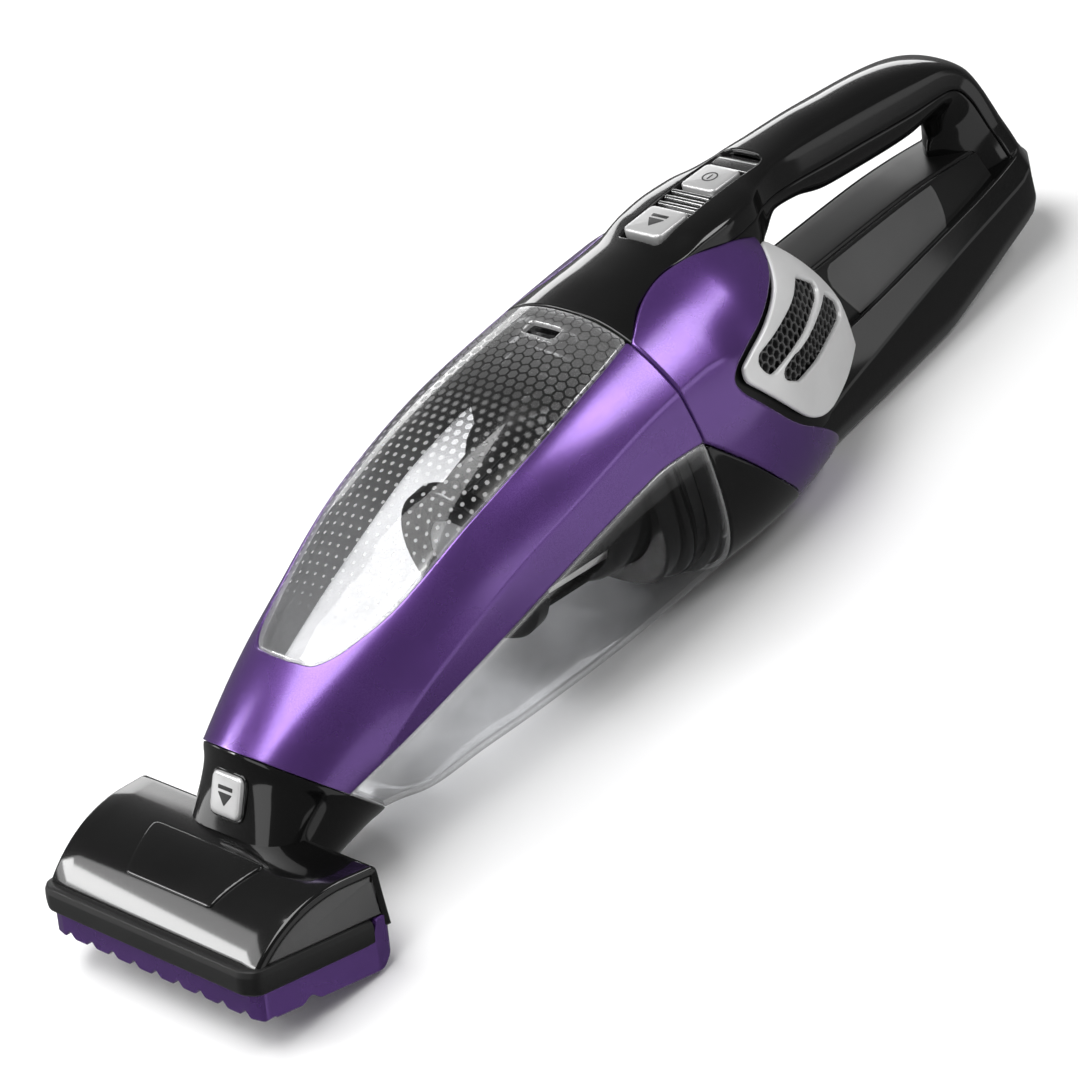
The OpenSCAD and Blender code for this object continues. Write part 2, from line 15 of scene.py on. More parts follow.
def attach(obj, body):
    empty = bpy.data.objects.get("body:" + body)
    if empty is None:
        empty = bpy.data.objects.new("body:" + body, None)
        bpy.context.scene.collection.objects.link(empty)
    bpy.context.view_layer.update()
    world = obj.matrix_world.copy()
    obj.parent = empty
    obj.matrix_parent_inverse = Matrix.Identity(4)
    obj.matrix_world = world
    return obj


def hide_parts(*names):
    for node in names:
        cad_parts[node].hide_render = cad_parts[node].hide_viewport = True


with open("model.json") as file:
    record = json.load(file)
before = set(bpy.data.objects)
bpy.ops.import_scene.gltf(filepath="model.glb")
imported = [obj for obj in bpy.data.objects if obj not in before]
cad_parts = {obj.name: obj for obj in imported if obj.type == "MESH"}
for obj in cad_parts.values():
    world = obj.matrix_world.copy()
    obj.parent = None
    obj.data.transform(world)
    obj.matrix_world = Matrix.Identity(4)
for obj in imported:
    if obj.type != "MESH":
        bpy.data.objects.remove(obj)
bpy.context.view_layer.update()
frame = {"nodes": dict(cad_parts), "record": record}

MM = 0.001
SEAM_X = 9.0
NECK = np.array([-160.0, 0.0, 37.5])
NECK_OUT = np.array([-0.803857, 0.0, -0.594823])
NECK_UP = (-0.594823, 0, 0.803857)
FAN_Z = 54.0
UNPRINTED = 400.0  # print distance of an inner wall, past the end of the pattern
FIELD = 6  # column of a skin's first field, after its point and normal
PANEL_GAP = 0.14
SEAM_GAP = 0.22
RIM_REACH = 0.9  # how far from its edge a panel counts as rim, for wear and gloss
OUTSIDE = -30.0  # field of a point that no outline reaches

# ---------------------------------------------------------------- camera

camera_data = bpy.data.cameras.new("camera")
camera_data.lens = 140.26
camera_data.sensor_width = 36.0
camera_data.clip_start = 0.05
camera = bpy.data.objects.new("camera", camera_data)
bpy.context.scene.collection.objects.link(camera)
camera.matrix_world = Matrix((
    (0.64608572, 0.59007400, -0.48413420, -0.73445359),
    (-0.70579539, 0.22041078, -0.67325475, -0.97467517),
    (-0.29056172, 0.77667996, 0.55887576, 0.85107161),
    (0, 0, 0, 1),
))
bpy.context.scene.camera = camera


# ---------------------------------------------------------------- outlines and curves

def smooth(edge_a, edge_b, x):
    """Rises from 0 at edge_a to 1 at edge_b without a corner."""
    t = np.clip((x - edge_a) / (edge_b - edge_a), 0, 1)
    return t * t * (3 - 2 * t)


def monotone(x, y, q):
    """Smooth curve through the points (x, y) that doesn't overshoot, read at q."""
    x, y = np.asarray(x, float), np.asarray(y, float)
    step = np.diff(x)
    slope = np.diff(y) / step
    turn = np.zeros(len(x))
    turn[0], turn[-1] = slope[0], slope[-1]
    same = slope[:-1] * slope[1:] > 0
    weight_a = 2 * step[1:] + step[:-1]
    weight_b = step[1:] + 2 * step[:-1]
    with np.errstate(divide="ignore", invalid="ignore"):
        mean = (weight_a + weight_b) / (weight_a / slope[:-1] + weight_b / slope[1:])
    turn[1:-1] = np.where(same, mean, 0)
    k = np.clip(np.searchsorted(x, q) - 1, 0, len(x) - 2)
    h, t = step[k], (np.asarray(q) - x[k]) / step[k]
    return (
        y[k] * (1 + 2 * t) * (1 - t) ** 2
        + turn[k] * h * t * (1 - t) ** 2
        + y[k + 1] * t * t * (3 - 2 * t)
        + turn[k + 1] * h * t * t * (t - 1)
    )


def fillet(points, closed=True, steps=5):
    """Rounds an outline. A point (a, b) becomes as round as its edges allow, (a, b, r) gets the radius r."""
    out = []
    count = len(points)
    for i, point in enumerate(points):
        p = np.array(point[:2], float)
        if not closed and i in (0, count - 1):
            out.append(p)
            continue
        a = np.array(points[i - 1][:2], float) - p
        b = np.array(points[(i + 1) % count][:2], float) - p
        la, lb = np.linalg.norm(a), np.linalg.norm(b)
        reach = 0.5 * min(la, lb)
        if len(point) > 2:
            cos = np.clip(-(a @ b) / (la * lb), -1, 1)
            reach = min(reach, point[2] * math.tan(math.acos(cos) / 2) + 1e-3)
        p0, p1 = p + a / la * reach, p + b / lb * reach
        for t in np.linspace(0, 1, steps):
            out.append(p0 * (1 - t) ** 2 + 2 * p * t * (1 - t) + p1 * t * t)
    return np.array(out)


def inside_distance(points, outline):
    """Distance of 2-D points to a closed outline, positive inside, and its direction."""
    a, b = outline, np.roll(outline, -1, axis=0)
    keep = np.linalg.norm(b - a, axis=1) > 1e-6
    a, b = a[keep], b[keep]
    edge = b - a
    size = (edge ** 2).sum(1)
    dist = np.empty(len(points))
    grad = np.empty((len(points), 2))
    for s in range(0, len(points), 4000):
        p = points[s:s + 4000, None, :]
        t = np.clip(((p - a) * edge).sum(2) / size, 0, 1)
        d = p - (a + t[..., None] * edge)
        gap = np.sqrt((d ** 2).sum(2))
        k = gap.argmin(1)
        rows = np.arange(len(k))
        crosses = (a[:, 1] > p[..., 1]) != (b[:, 1] > p[..., 1])
        with np.errstate(divide="ignore", invalid="ignore"):
            at = a[:, 0] + (p[..., 1] - a[:, 1]) / (b[:, 1] - a[:, 1]) * edge[:, 0]
        odd = (crosses & (p[..., 0] < at)).sum(1) % 2
        sign = np.where(odd == 1, 1.0, -1.0)
        dist[s:s + 4000] = gap[rows, k] * sign
        grad[s:s + 4000] = d[rows, k] / np.maximum(gap[rows, k], 1e-6)[:, None]
    return dist, grad


def squared(wave, power):
    """Sine or cosine made squarer, as in a superellipse of that power."""
    return np.sign(wave) * np.abs(wave) ** (2 / power)


def run_along(points):
    """Distance from the first point of a line to each of its points."""
    return np.concatenate([[0], np.cumsum(np.linalg.norm(np.diff(points, axis=0), axis=1))])


def miters(outline, least):
    """Step of each point that moves every edge of an outline by 1 to its left."""
    ahead = np.roll(outline, -1, axis=0) - outline
    ahead /= np.maximum(np.linalg.norm(ahead, axis=1), 1e-9)[:, None]
    both = ahead + np.roll(ahead, 1, axis=0)
    bisector = np.column_stack([-both[:, 1], both[:, 0]])
    bisector /= np.maximum(np.linalg.norm(bisector, axis=1), 1e-6)[:, None]
    left = np.column_stack([-ahead[:, 1], ahead[:, 0]])
    return bisector / np.maximum((bisector * left).sum(1), least)[:, None]


def both_sides(edge):
    """Closes an outline given on one side of the middle line."""
    return list(edge) + [(p[0], -p[1]) + tuple(p[2:]) for p in reversed(edge)]


# ---------------------------------------------------------------- surface patches

class Skin:
    """A surface patch. Each row of data is a point, its unit normal and any number of fields."""

    def __init__(self, data, faces):
        self.data, self.faces = data, faces

    @property
    def co(self):
        return self.data[:, :3]

    @property
    def normal(self):
        return self.data[:, 3:6]

    def with_fields(self, *fields):
        return Skin(np.column_stack([self.data] + list(fields)), self.faces)

    def facing(self, directions):
        """Turns the patch over if its normals mostly point against the directions."""
        if (self.normal * directions).sum(1).mean() < 0:
            self.data[:, 3:6] *= -1
            self.faces = [f[::-1] for f in self.faces]
        return self

    def cut(self, column, level=0.0, both=False, snap=0.03):
        """Splits the faces where a field crosses a level, and keeps the part above it or both parts."""
        value = self.data[:, column] - level
        value[np.abs(value) < snap] = 0
        sign = np.sign(value).astype(int).tolist()
        total = len(self.data)
        extra, shared, faces = [], {}, []
        for face in self.faces:
            s = [sign[i] for i in face]
            if min(s) >= 0:
                faces.append(face)
                continue
            if max(s) <= 0:
                if both:
                    faces.append(face)
                continue
            inner, outer = [], []
            for n, i in enumerate(face):
                j, sj = face[(n + 1) % len(face)], s[(n + 1) % len(face)]
                if s[n] >= 0:
                    inner.append(i)
                if s[n] <= 0:
                    outer.append(i)
                if s[n] * sj < 0:
                    key = (i, j) if i < j else (j, i)
                    if key not in shared:
                        va, vb = value[key[0]], value[key[1]]
                        t = va / (va - vb)
                        extra.append(self.data[key[0]] * (1 - t) + self.data[key[1]] * t)
                        shared[key] = total + len(extra) - 1
                    inner.append(shared[key])
                    outer.append(shared[key])
            if len(inner) > 2:
                faces.append(inner)
            if both and len(outer) > 2:
                faces.append(outer)
        data = np.vstack([self.data] + ([np.array(extra)] if extra else []))
        return Skin(data, faces).tidy()

    def tidy(self):
        used = sorted({i for f in self.faces for i in f})
        index = np.full(len(self.data), -1)
        index[used] = np.arange(len(used))
        return Skin(self.data[used], [[int(index[i]) for i in f] for f in self.faces])


def grid_skin(co, closed=False):
    """Skin of a grid of points, rows by columns, with normals from its slopes."""
    rows, cols = co.shape[:2]
    du = np.gradient(co, axis=0)
    if closed:
        dv = (np.roll(co, -1, axis=1) - np.roll(co, 1, axis=1)) / 2
    else:
        dv = np.gradient(co, axis=1)
    normal = np.cross(du, dv)
    normal /= np.maximum(np.linalg.norm(normal, axis=2), 1e-9)[..., None]
    faces = []
    for i in range(rows - 1):
        for j in range(cols if closed else cols - 1):
            k = (j + 1) % cols
            faces.append([i * cols + j, (i + 1) * cols + j, (i + 1) * cols + k, i * cols + k])
    return Skin(np.concatenate([co, normal], axis=2).reshape(-1, 6), faces)


def rounded_panel(skin, column, wall, radius, sink=0.0):
    """Cuts a patch to its field, rounds its rim and gives it a wall.

    Returns points, faces, rim weights and the cut patch.
    """
    skin = skin.cut(column)
    for share in (0.12, 0.4, 0.8, 1.3):
        skin = skin.cut(column, radius * share, both=True)
    edge = np.clip(skin.data[:, column], 0, None)
    depth = np.clip(radius - edge, 0, radius)
    drop = radius - np.sqrt(np.maximum(radius ** 2 - depth ** 2, 0))
    outer = skin.co - skin.normal * (drop + sink)[:, None]
    inner = skin.co - skin.normal * (wall + sink)
    count = len(outer)
    faces = list(skin.faces) + [[i + count for i in reversed(f)] for f in skin.faces]
    seen = dict.fromkeys((i, f[(n + 1) % len(f)]) for f in skin.faces for n, i in enumerate(f))
    for i, j in seen:
        if (j, i) not in seen:
            faces.append([j, i, i + count, j + count])
    rim = np.exp(-edge / RIM_REACH)
    return np.vstack([outer, inner]), faces, np.concatenate([rim, rim]), skin


# ---------------------------------------------------------------- pieces

def piece(name, co, faces, mat, body, replaces=(), sharp=32, fields=None, weld=0.004):
    mesh = bpy.data.meshes.new(name)
    mesh.from_pydata((np.asarray(co) * MM).tolist(), [], [list(f) for f in faces])
    mesh.validate()
    for key, values in (fields or {}).items():
        layer = mesh.attributes.new(key, "FLOAT", "POINT")
        layer.data.foreach_set("value", np.asarray(values, np.float32))
    bm = bmesh.new()
    bm.from_mesh(mesh)
    bmesh.ops.remove_doubles(bm, verts=bm.verts, dist=weld * MM)
    bmesh.ops.dissolve_degenerate(bm, edges=bm.edges, dist=0.002 * MM)
    bmesh.ops.recalc_face_normals(bm, faces=bm.faces)
    bm.to_mesh(mesh)
    bm.free()
    mesh.shade_smooth()
    mesh.set_sharp_from_angle(angle=math.radians(sharp))
    mesh.materials.append(mat)
    obj = bpy.data.objects.new(name, mesh)
    bpy.context.scene.collection.objects.link(obj)
    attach(obj, body)
    if replaces:
        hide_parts(*replaces)


def ring_faces(rings, n, loop=False, flip=False):
    """Quads between neighbouring rings of n points. A loop joins the last ring to the first."""
    faces = []
    for k in range(rings if loop else rings - 1):
        m = (k + 1) % rings
        for i in range(n):
            j = (i + 1) % n
            a, b, c, d = k * n + i, m * n + i, m * n + j, k * n + j
            faces.append([a, d, c, b] if flip else [a, b, c, d])
    return faces


def lofted(rings):
    """Closed solid through rings that share their number of points."""
    n = len(rings[0])
    last = (len(rings) - 1) * n
    caps = [list(range(n)), list(reversed(range(last, last + n)))]
    return np.vstack(rings), ring_faces(len(rings), n) + caps


def outline_slab(outline, low, high, bevel=0.5, dome=0.0, steps=4):
    """Points and faces of an extruded outline with a rounded upper edge. Local z is the extrusion."""
    outline = np.asarray(outline, float)
    keep = np.linalg.norm(outline - np.roll(outline, 1, axis=0), axis=1) > 1e-4
    outline = outline[keep]
    x, y = outline.T
    if np.sum(x * np.roll(y, -1) - np.roll(x, -1) * y) < 0:
        outline = outline[::-1]
    inward = miters(outline, 0.5)
    rings = [(low, 0.0)]
    for k in range(steps + 1):
        a = math.pi / 2 * k / steps
        rings.append((high - bevel + bevel * math.sin(a), bevel * (1 - math.cos(a))))
    if dome:
        rings.append((high + dome, bevel + 0.9))
    co, n = [], len(outline)
    for z, inset in rings:
        co.append(np.column_stack([outline + inward * inset, np.full(n, z)]))
    top = (len(rings) - 1) * n
    caps = [list(range(top, top + n)), list(reversed(range(n)))]
    return np.vstack(co), ring_faces(len(rings), n, flip=True) + caps


def placed(co, matrix):
    """Moves points by a placement."""
    m = np.array(matrix)
    return np.asarray(co) @ m[:3, :3].T + m[:3, 3]


def joined(*parts):
    """Joins lists of points and faces."""
    co, faces, base = [], [], 0
    for points, polygons in parts:
        co.append(np.asarray(points))
        faces += [[i + base for i in f] for f in polygons]
        base += len(points)
    return np.vstack(co), faces


def turned(profile, axis_point, steps=64):
    """Solid of revolution around a line along X: profile is (x, r), axis_point gives y and z."""
    y0, z0 = axis_point
    co = []
    for k in range(steps):
        a = 2 * math.pi * k / steps
        for x, r in profile:
            co.append((x, y0 + r * math.cos(a), z0 + r * math.sin(a)))
    return np.array(co), ring_faces(steps, len(profile), loop=True, flip=True)


# ---------------------------------------------------------------- materials

class Nodes:
    """Small helper that adds and links shader nodes."""

    def __init__(self, name):
        self.mat = bpy.data.materials.new(name)
        self.mat.use_nodes = True
        self.tree = self.mat.node_tree
        self.tree.nodes.clear()
        self.out = self.add("ShaderNodeOutputMaterial")

    def add(self, kind, **values):
        node = self.tree.nodes.new(kind)
        for key, value in values.items():
            setattr(node, key, value)
        return node

    def put(self, node, socket, value):
        target = node.inputs[socket]
        if isinstance(value, bpy.types.NodeSocket):
            self.tree.links.new(value, target)
        else:
            target.default_value = value

    def math(self, operation, a, b=0.0, clamp=False):
        node = self.add("ShaderNodeMath", operation=operation, use_clamp=clamp)
        self.put(node, 0, a)
        self.put(node, 1, b)
        return node.outputs[0]

    def vector(self, operation, a, b=(0, 0, 0)):
        node = self.add("ShaderNodeVectorMath", operation=operation)
        self.put(node, 0, a)
        self.put(node, 1, b)
        return node.outputs["Value" if operation == "DOT_PRODUCT" else "Vector"]

    def field(self, name):
        """Value of a mesh attribute, 0 where a mesh doesn't have it."""
        return self.add("ShaderNodeAttribute", attribute_type="GEOMETRY", attribute_name=name).outputs["Fac"]

    def coordinates(self):
        return self.add("ShaderNodeTexCoord").outputs["Object"]

    def noise(self, scale, detail=3.0, rough=0.55, stretch=None):
        node = self.add("ShaderNodeTexNoise")
        place = self.coordinates()
        if stretch is not None:
            place = self.vector("MULTIPLY", place, stretch)
        self.put(node, "Vector", place)
        self.put(node, "Scale", scale)
        self.put(node, "Detail", detail)
        self.put(node, "Roughness", rough)
        return node.outputs["Fac"]

    def spread(self, value, low, high, out_low, out_high):
        node = self.add("ShaderNodeMapRange")
        for socket, v in zip((0, 1, 2, 3, 4), (value, low, high, out_low, out_high)):
            self.put(node, socket, v)
        return node.outputs[0]

    def blend(self, fac, a, b):
        node = self.add("ShaderNodeMix", data_type="RGBA")
        self.put(node, 0, fac)
        self.put(node, 6, a)
        self.put(node, 7, b)
        return node.outputs[2]

    def bump(self, height, strength, distance):
        node = self.add("ShaderNodeBump")
        self.put(node, "Height", height)
        self.put(node, "Strength", strength)
        self.put(node, "Distance", distance)
        return node.outputs["Normal"]

    def principled(self, sockets):
        node = self.add("ShaderNodeBsdfPrincipled")
        for socket, value in sockets.items():
            self.put(node, socket, value)
        return node

    def over(self, share, below, above):
        """Lays one shader over another by a share."""
        node = self.add("ShaderNodeMixShader")
        self.put(node, 0, share)
        self.tree.links.new(below.outputs[0], node.inputs[1])
        self.tree.links.new(above.outputs[0], node.inputs[2])
        return node

    def finish(self, shader):
        self.tree.links.new(shader.outputs[0], self.out.inputs[0])
        return self.mat


def grey(value):
    return (value, value, value, 1)


def scaled(color, factor, lift=0.0):
    """Colour made brighter or darker, and lifted."""
    return tuple(min(1, c * factor + lift) for c in color[:3]) + (1,)


def surface(name, color, rough, second=None, metallic=0.0, coat=0.0, coat_rough=0.03, specular=0.5,
            grain=2600.0, grain_depth=0.00002, grain_strength=0.12, rough_swing=0.045, worn=None,
            sheen=0.0, flakes=0.0, brushed=False, lined=False):
    """Plastic, metal or rubber with colour variation, smudges, fine grain and lightly worn edges."""
    n = Nodes(name)
    second = second or scaled(color, 0.82)
    cloud = n.noise(28.0, 4.0)
    base = n.blend(n.spread(cloud, 0.35, 0.68, 0.0, 1.0), color, second)
    stretch = (0.03, 1, 1) if brushed else None
    fine = n.noise(grain, 2.0, 0.6, stretch)
    if flakes:
        cell = n.add("ShaderNodeTexVoronoi")
        n.put(cell, "Vector", n.coordinates())
        n.put(cell, "Scale", 3600.0)
        sparkle = n.spread(cell.outputs["Distance"], 0.05, 0.6, flakes, 0.0)
        base = n.blend(sparkle, base, scaled(color, 2.4, 0.08))
    point = n.add("ShaderNodeNewGeometry").outputs["Pointiness"]
    at_rim = n.math("MULTIPLY", n.field("rim"), 0.55)
    rubbed = n.math("MAXIMUM", n.spread(point, 0.6, 0.72, 0.0, 1.0), at_rim)
    wear = n.math("MULTIPLY", rubbed, n.spread(n.noise(160.0, 4.0), 0.42, 0.6, 0.1, 0.55))
    base = n.blend(wear, base, worn or scaled(color, 1.5, 0.03))
    if lined:
        inner = n.field("inner")
        base = n.blend(inner, base, n.blend(cloud, grey(0.66), grey(0.74)))
        metallic = n.spread(inner, 0.0, 1.0, metallic, 0.0)
    smudge = n.noise(45.0, 4.0, 0.5)
    return n.finish(n.principled({
        "Base Color": base,
        "Roughness": n.spread(smudge, 0.3, 0.72, rough - rough_swing, rough + rough_swing),
        "Metallic": metallic,
        "Specular IOR Level": specular,
        "Coat Weight": coat,
        "Coat Roughness": coat_rough,
        "Sheen Weight": sheen,
        "Normal": n.bump(fine, grain_strength, grain_depth),
    }))


def clear_surface(name, tint, gloss=0.5, haze=0.03, printed=False):
    """Clear plastic: a see-through film that mirrors at glancing angles, with faint scratches and dust."""
    n = Nodes(name)
    see = n.add("ShaderNodeBsdfTransparent")
    n.put(see, "Color", n.blend(n.spread(n.noise(40.0, 3.0), 0.35, 0.7, 0.0, 1.0), tint, scaled(tint, 0.93)))
    rim, smear = n.field("rim"), n.noise(90.0, 4.0)
    shiny = n.principled({
        "Base Color": grey(0.93),
        "Metallic": n.spread(rim, 0.0, 1.0, 0.97, 0.35),
        "Roughness": n.spread(smear, 0.3, 0.7, 0.03, 0.09),
        "Normal": n.bump(n.noise(60.0, 2.0), 0.04, 0.0001),
    })
    glance = n.add("ShaderNodeLayerWeight")
    n.put(glance, "Blend", 0.5)
    dust = n.spread(n.noise(300.0, 3.0, 0.7), 0.6, 0.8, 0.0, haze)
    mirror = n.math("ADD", n.math("MULTIPLY", n.math("POWER", glance.outputs["Facing"], 4.0), gloss), 0.03)
    share = n.math("ADD", mirror, dust, clamp=True)
    share = n.math("MULTIPLY", share, n.spread(n.field("inner"), 0.0, 1.0, 1.0, 0.12))
    share = n.math("ADD", share, n.math("MULTIPLY", rim, 0.4), clamp=True)
    last = n.over(share, see, shiny)
    if printed:
        speck = n.noise(300.0)
        ink = n.principled({
            "Base Color": n.blend(speck, grey(0.006), grey(0.012)),
            "Roughness": n.spread(smear, 0.3, 0.7, 0.14, 0.26),
            "Coat Weight": 1.0,
        })
        pale = n.principled({
            "Base Color": n.blend(speck, grey(0.72), grey(0.62)),
            "Roughness": n.spread(smear, 0.3, 0.7, 0.3, 0.42),
        })
        for share, paint in zip(hex_print(n), (ink, pale)):
            last = n.over(share, last, paint)
    return n.finish(last)


def hex_print(n):
    """Coverage of the black honeycomb, which thins out forwards, and of the pale dots in its cells."""
    pitch, soft = 4.3, 0.012
    tall = 3 ** 0.5
    along = n.field("print_u")
    pack = n.add("ShaderNodeCombineXYZ")
    n.put(pack, 0, n.math("MULTIPLY", n.field("print_v"), 1 / pitch))
    n.put(pack, 1, n.math("MULTIPLY", along, 1 / pitch))
    cell = (1.0, tall, 1.0)
    half = (0.5, tall / 2, 0.5)
    place = n.vector("ADD", pack.outputs[0], (60.0, 60 * tall, 0.0))
    a = n.vector("SUBTRACT", n.vector("MODULO", place, cell), half)
    b = n.vector("SUBTRACT", n.vector("MODULO", n.vector("ADD", place, half), cell), half)
    a, b = n.vector("MULTIPLY", a, (1, 1, 0)), n.vector("MULTIPLY", b, (1, 1, 0))
    pick = n.add("ShaderNodeMix", data_type="VECTOR")
    n.put(pick, 0, n.math("LESS_THAN", n.vector("DOT_PRODUCT", a, a), n.vector("DOT_PRODUCT", b, b)))
    n.put(pick, 4, b)
    n.put(pick, 5, a)
    from_middle = n.vector("ABSOLUTE", pick.outputs[1])
    slanted = n.vector("DOT_PRODUCT", from_middle, half[:2] + (0.0,))
    straight = n.vector("DOT_PRODUCT", from_middle, (1.0, 0.0, 0.0))
    reach = n.math("MAXIMUM", slanted, straight)
    hole = n.spread(along, 14.0, 88.0, 0.462, 0.20)
    lines = n.spread(n.math("SUBTRACT", reach, hole), -soft, soft, 0.0, 1.0)
    solid = n.spread(along, 46.0, 84.0, 0.94, 0.0)
    film = n.math("MULTIPLY", n.math("SUBTRACT", 1.0, lines), n.spread(along, 10.0, 60.0, 0.15, 0.03))
    size = n.spread(along, 20.0, 135.0, 0.27, 0.10)
    dots = n.spread(n.math("SUBTRACT", size, reach), -soft, soft, 0.0, 1.0)
    fade_in = n.spread(along, 34.0, 74.0, 0.0, 0.42)
    strength = n.math("MULTIPLY", fade_in, n.spread(along, 128.0, 142.0, 1.0, 0.0))
    return n.math("MULTIPLY", lines, solid), n.math("MAXIMUM", n.math("MULTIPLY", dots, strength), film)


PURPLE = (0.125, 0.048, 0.262, 1)
CLEAR = (0.945, 0.947, 0.952, 1)
M = {
    "purple": surface("purple_pearl", PURPLE, 0.27, (0.112, 0.04, 0.24, 1), coat=0.8, coat_rough=0.18,
                      specular=0.4, flakes=0.25, grain=3200.0, worn=(0.25, 0.13, 0.42, 1), metallic=0.72,
                      lined=True),
    "gloss": surface("black_gloss", grey(0.002), 0.36, grey(0.003), coat=1.0, coat_rough=0.075, specular=0.05,
                     grain=420.0, grain_depth=0.00003, grain_strength=0.04, worn=grey(0.012)),
    "satin": surface("black_satin", grey(0.004), 0.36, grey(0.006), grain=3400.0, grain_strength=0.2,
                     specular=0.3, worn=grey(0.02)),
    "grey": surface("grey_satin", grey(0.075), 0.36, grey(0.060), grain=3200.0, grain_strength=0.25,
                    worn=grey(0.14)),
    "silver": surface("silver_plastic", grey(0.58), 0.34, grey(0.52), metallic=0.5, grain=3000.0,
                      grain_strength=0.12, coat=0.2, worn=grey(0.75)),
    "trim": surface("silver_trim", grey(0.78), 0.36, grey(0.70), metallic=0.25, grain=3000.0,
                    grain_strength=0.12, coat=0.2, worn=grey(0.85)),
    "chrome": surface("chrome_trim", grey(0.30), 0.2, grey(0.24), metallic=1.0, grain=1800.0,
                      grain_strength=0.06, brushed=True, worn=grey(0.8)),
    "rubber": surface("rubber_black", grey(0.004), 0.45, grey(0.007), grain=2600.0, grain_strength=0.35,
                      grain_depth=0.00003, sheen=0.06, specular=0.3, worn=grey(0.03)),
    "felt": surface("filter_felt", (0.74, 0.73, 0.70, 1), 0.92, (0.62, 0.61, 0.58, 1), grain=1500.0,
                    grain_strength=0.9, grain_depth=0.0002, sheen=0.5, specular=0.2,
                    worn=(0.8, 0.8, 0.78, 1)),
    "pale": surface("pale_plastic", grey(0.55), 0.36, grey(0.48), worn=grey(0.7)),
    "steel": surface("steel_can", grey(0.55), 0.28, grey(0.46), metallic=1.0, brushed=True, worn=grey(0.7)),
    "wrap": surface("cell_wrap", (0.02, 0.20, 0.13, 1), 0.3, (0.015, 0.16, 0.10, 1), coat=0.5,
                    worn=(0.08, 0.32, 0.2, 1)),
    "board": surface("circuit_board", (0.01, 0.12, 0.04, 1), 0.38, (0.008, 0.09, 0.03, 1), coat=0.4,
                     worn=(0.05, 0.2, 0.08, 1)),
    "bristle": surface("nylon_bristle", grey(0.02), 0.5, grey(0.035), grain=5200.0, grain_strength=0.8,
                       grain_depth=0.0003, brushed=True, worn=grey(0.07)),
    "ink": surface("black_print", grey(0.008), 0.45, grey(0.012), worn=grey(0.03)),
    "clear": clear_surface("clear_tank", CLEAR, gloss=0.45, haze=0.008),
    "window": clear_surface("clear_window", CLEAR, gloss=0.5, haze=0.01, printed=True),
}
SLOT_LOOK = {
    "purple_plastic": "purple", "black_gloss": "gloss", "black_satin": "satin", "grey_satin": "grey",
    "silver_plastic": "silver", "chrome_trim": "chrome", "clear_plastic": "clear", "rubber_black": "rubber",
    "filter_cloth": "felt", "pale_plastic": "pale", "steel": "steel", "cell_wrap": "wrap",
    "board": "board", "bristle": "bristle",
}
for entry in frame["record"]["subparts"]:
    shown = frame["nodes"][entry["node"]].data.materials
    shown.clear()
    shown.append(M[SLOT_LOOK[entry["material_slot"]]])

# ---------------------------------------------------------------- bin and motor body

# Sections from the neck to the handle: place, centre x, lowest z, highest z, tilt in degrees, half width,
# squareness below and above
SECTIONS = np.array([
    [-160, -160, 5.5, 71.6, 36.5, 31, 2.0, 2.05],
    [-115, -115, 7, 89.8, 0, 39.8, 2.5, 2.6],
    [-81, -81, 4.4, 100.6, 0, 44.6, 2.7, 2.68],
    [-36, -36, 2, 107.4, 0, 49.2, 2.9, 2.6],
    [9, 9, 0.6, 110.3, 0, 51, 3.0, 2.32],
    [30, 30, 0.3, 111.5, 0, 52, 3.2, 2.12],
    [50, 50, 0.3, 111.5, 0, 50.5, 3.4, 2.1],
    [70, 70, 0.3, 108, 0, 46, 3.4, 2.1],
    [90, 90, 0.3, 96, 0, 37, 3.2, 2.2],
    [108, 108, 2, 74, 0, 28, 2.8, 2.4],
])


def section_values(places):
    return [monotone(SECTIONS[:, 0], SECTIONS[:, k], places) for k in range(1, 8)]


# Height of the side crease along x, and the columns of the hull below and above it
CREASE = np.array([(-170, 33.0), (-120, 61), (-60, 78), (8, 85.7), (22, 85.6), (30, 84.5), (48, 80)])
BELOW, ABOVE = 68, 100
HIGHEST_CREASE = 0.42  # as a share of the way round from the bottom


def crease_height(x):
    return monotone(CREASE[:, 0], CREASE[:, 1], np.clip(x, CREASE[0, 0], CREASE[-1, 0]))


def hull_grid(places, around=0, angles=None, grow=0.0):
    """Grid of points on the body, one row per place.

    The columns are spread over a range of angles, given as shares of a full turn from the bottom. Without
    angles they go all the way round, and one on each side follows the crease.
    """
    turn = 1441
    dense = np.linspace(-math.pi / 2, 1.5 * math.pi, turn)
    rows = []
    for cx, low, high, tilt, half_w, p_low, p_high in zip(*section_values(np.asarray(places, float))):
        mid, half_h = (low + high) / 2, (high - low) / 2 + grow
        p = np.where(np.sin(dense) < 0, p_low, p_high)
        y = (half_w + grow) * squared(np.cos(dense), p)
        v = half_h * squared(np.sin(dense), p)
        run = np.concatenate([[0], np.cumsum(np.hypot(np.diff(y), np.diff(v)))])
        a = math.radians(tilt)
        if angles is None:
            side = slice(0, turn // 2 + 1)
            over = (mid + v * math.cos(a) - crease_height(cx - v * math.sin(a)))[side]
            mark = float(np.interp(0, over, run[side])) if over[-1] > 0 else run[-1] * 0.4
            mark = min(mark, run[-1] * HIGHEST_CREASE)
            at = np.concatenate([
                np.linspace(0, mark, BELOW + 1), np.linspace(mark, run[-1] - mark, ABOVE + 1)[1:],
                np.linspace(run[-1] - mark, run[-1], BELOW + 1)[1:-1],
            ])
        else:
            at = np.interp(np.linspace(*angles, around), np.linspace(0, 1, turn), run)
        y, v = np.interp(at, run, y), np.interp(at, run, v)
        rows.append(np.column_stack([cx - v * math.sin(a), y, mid + v * math.cos(a)]))
    return np.array(rows)


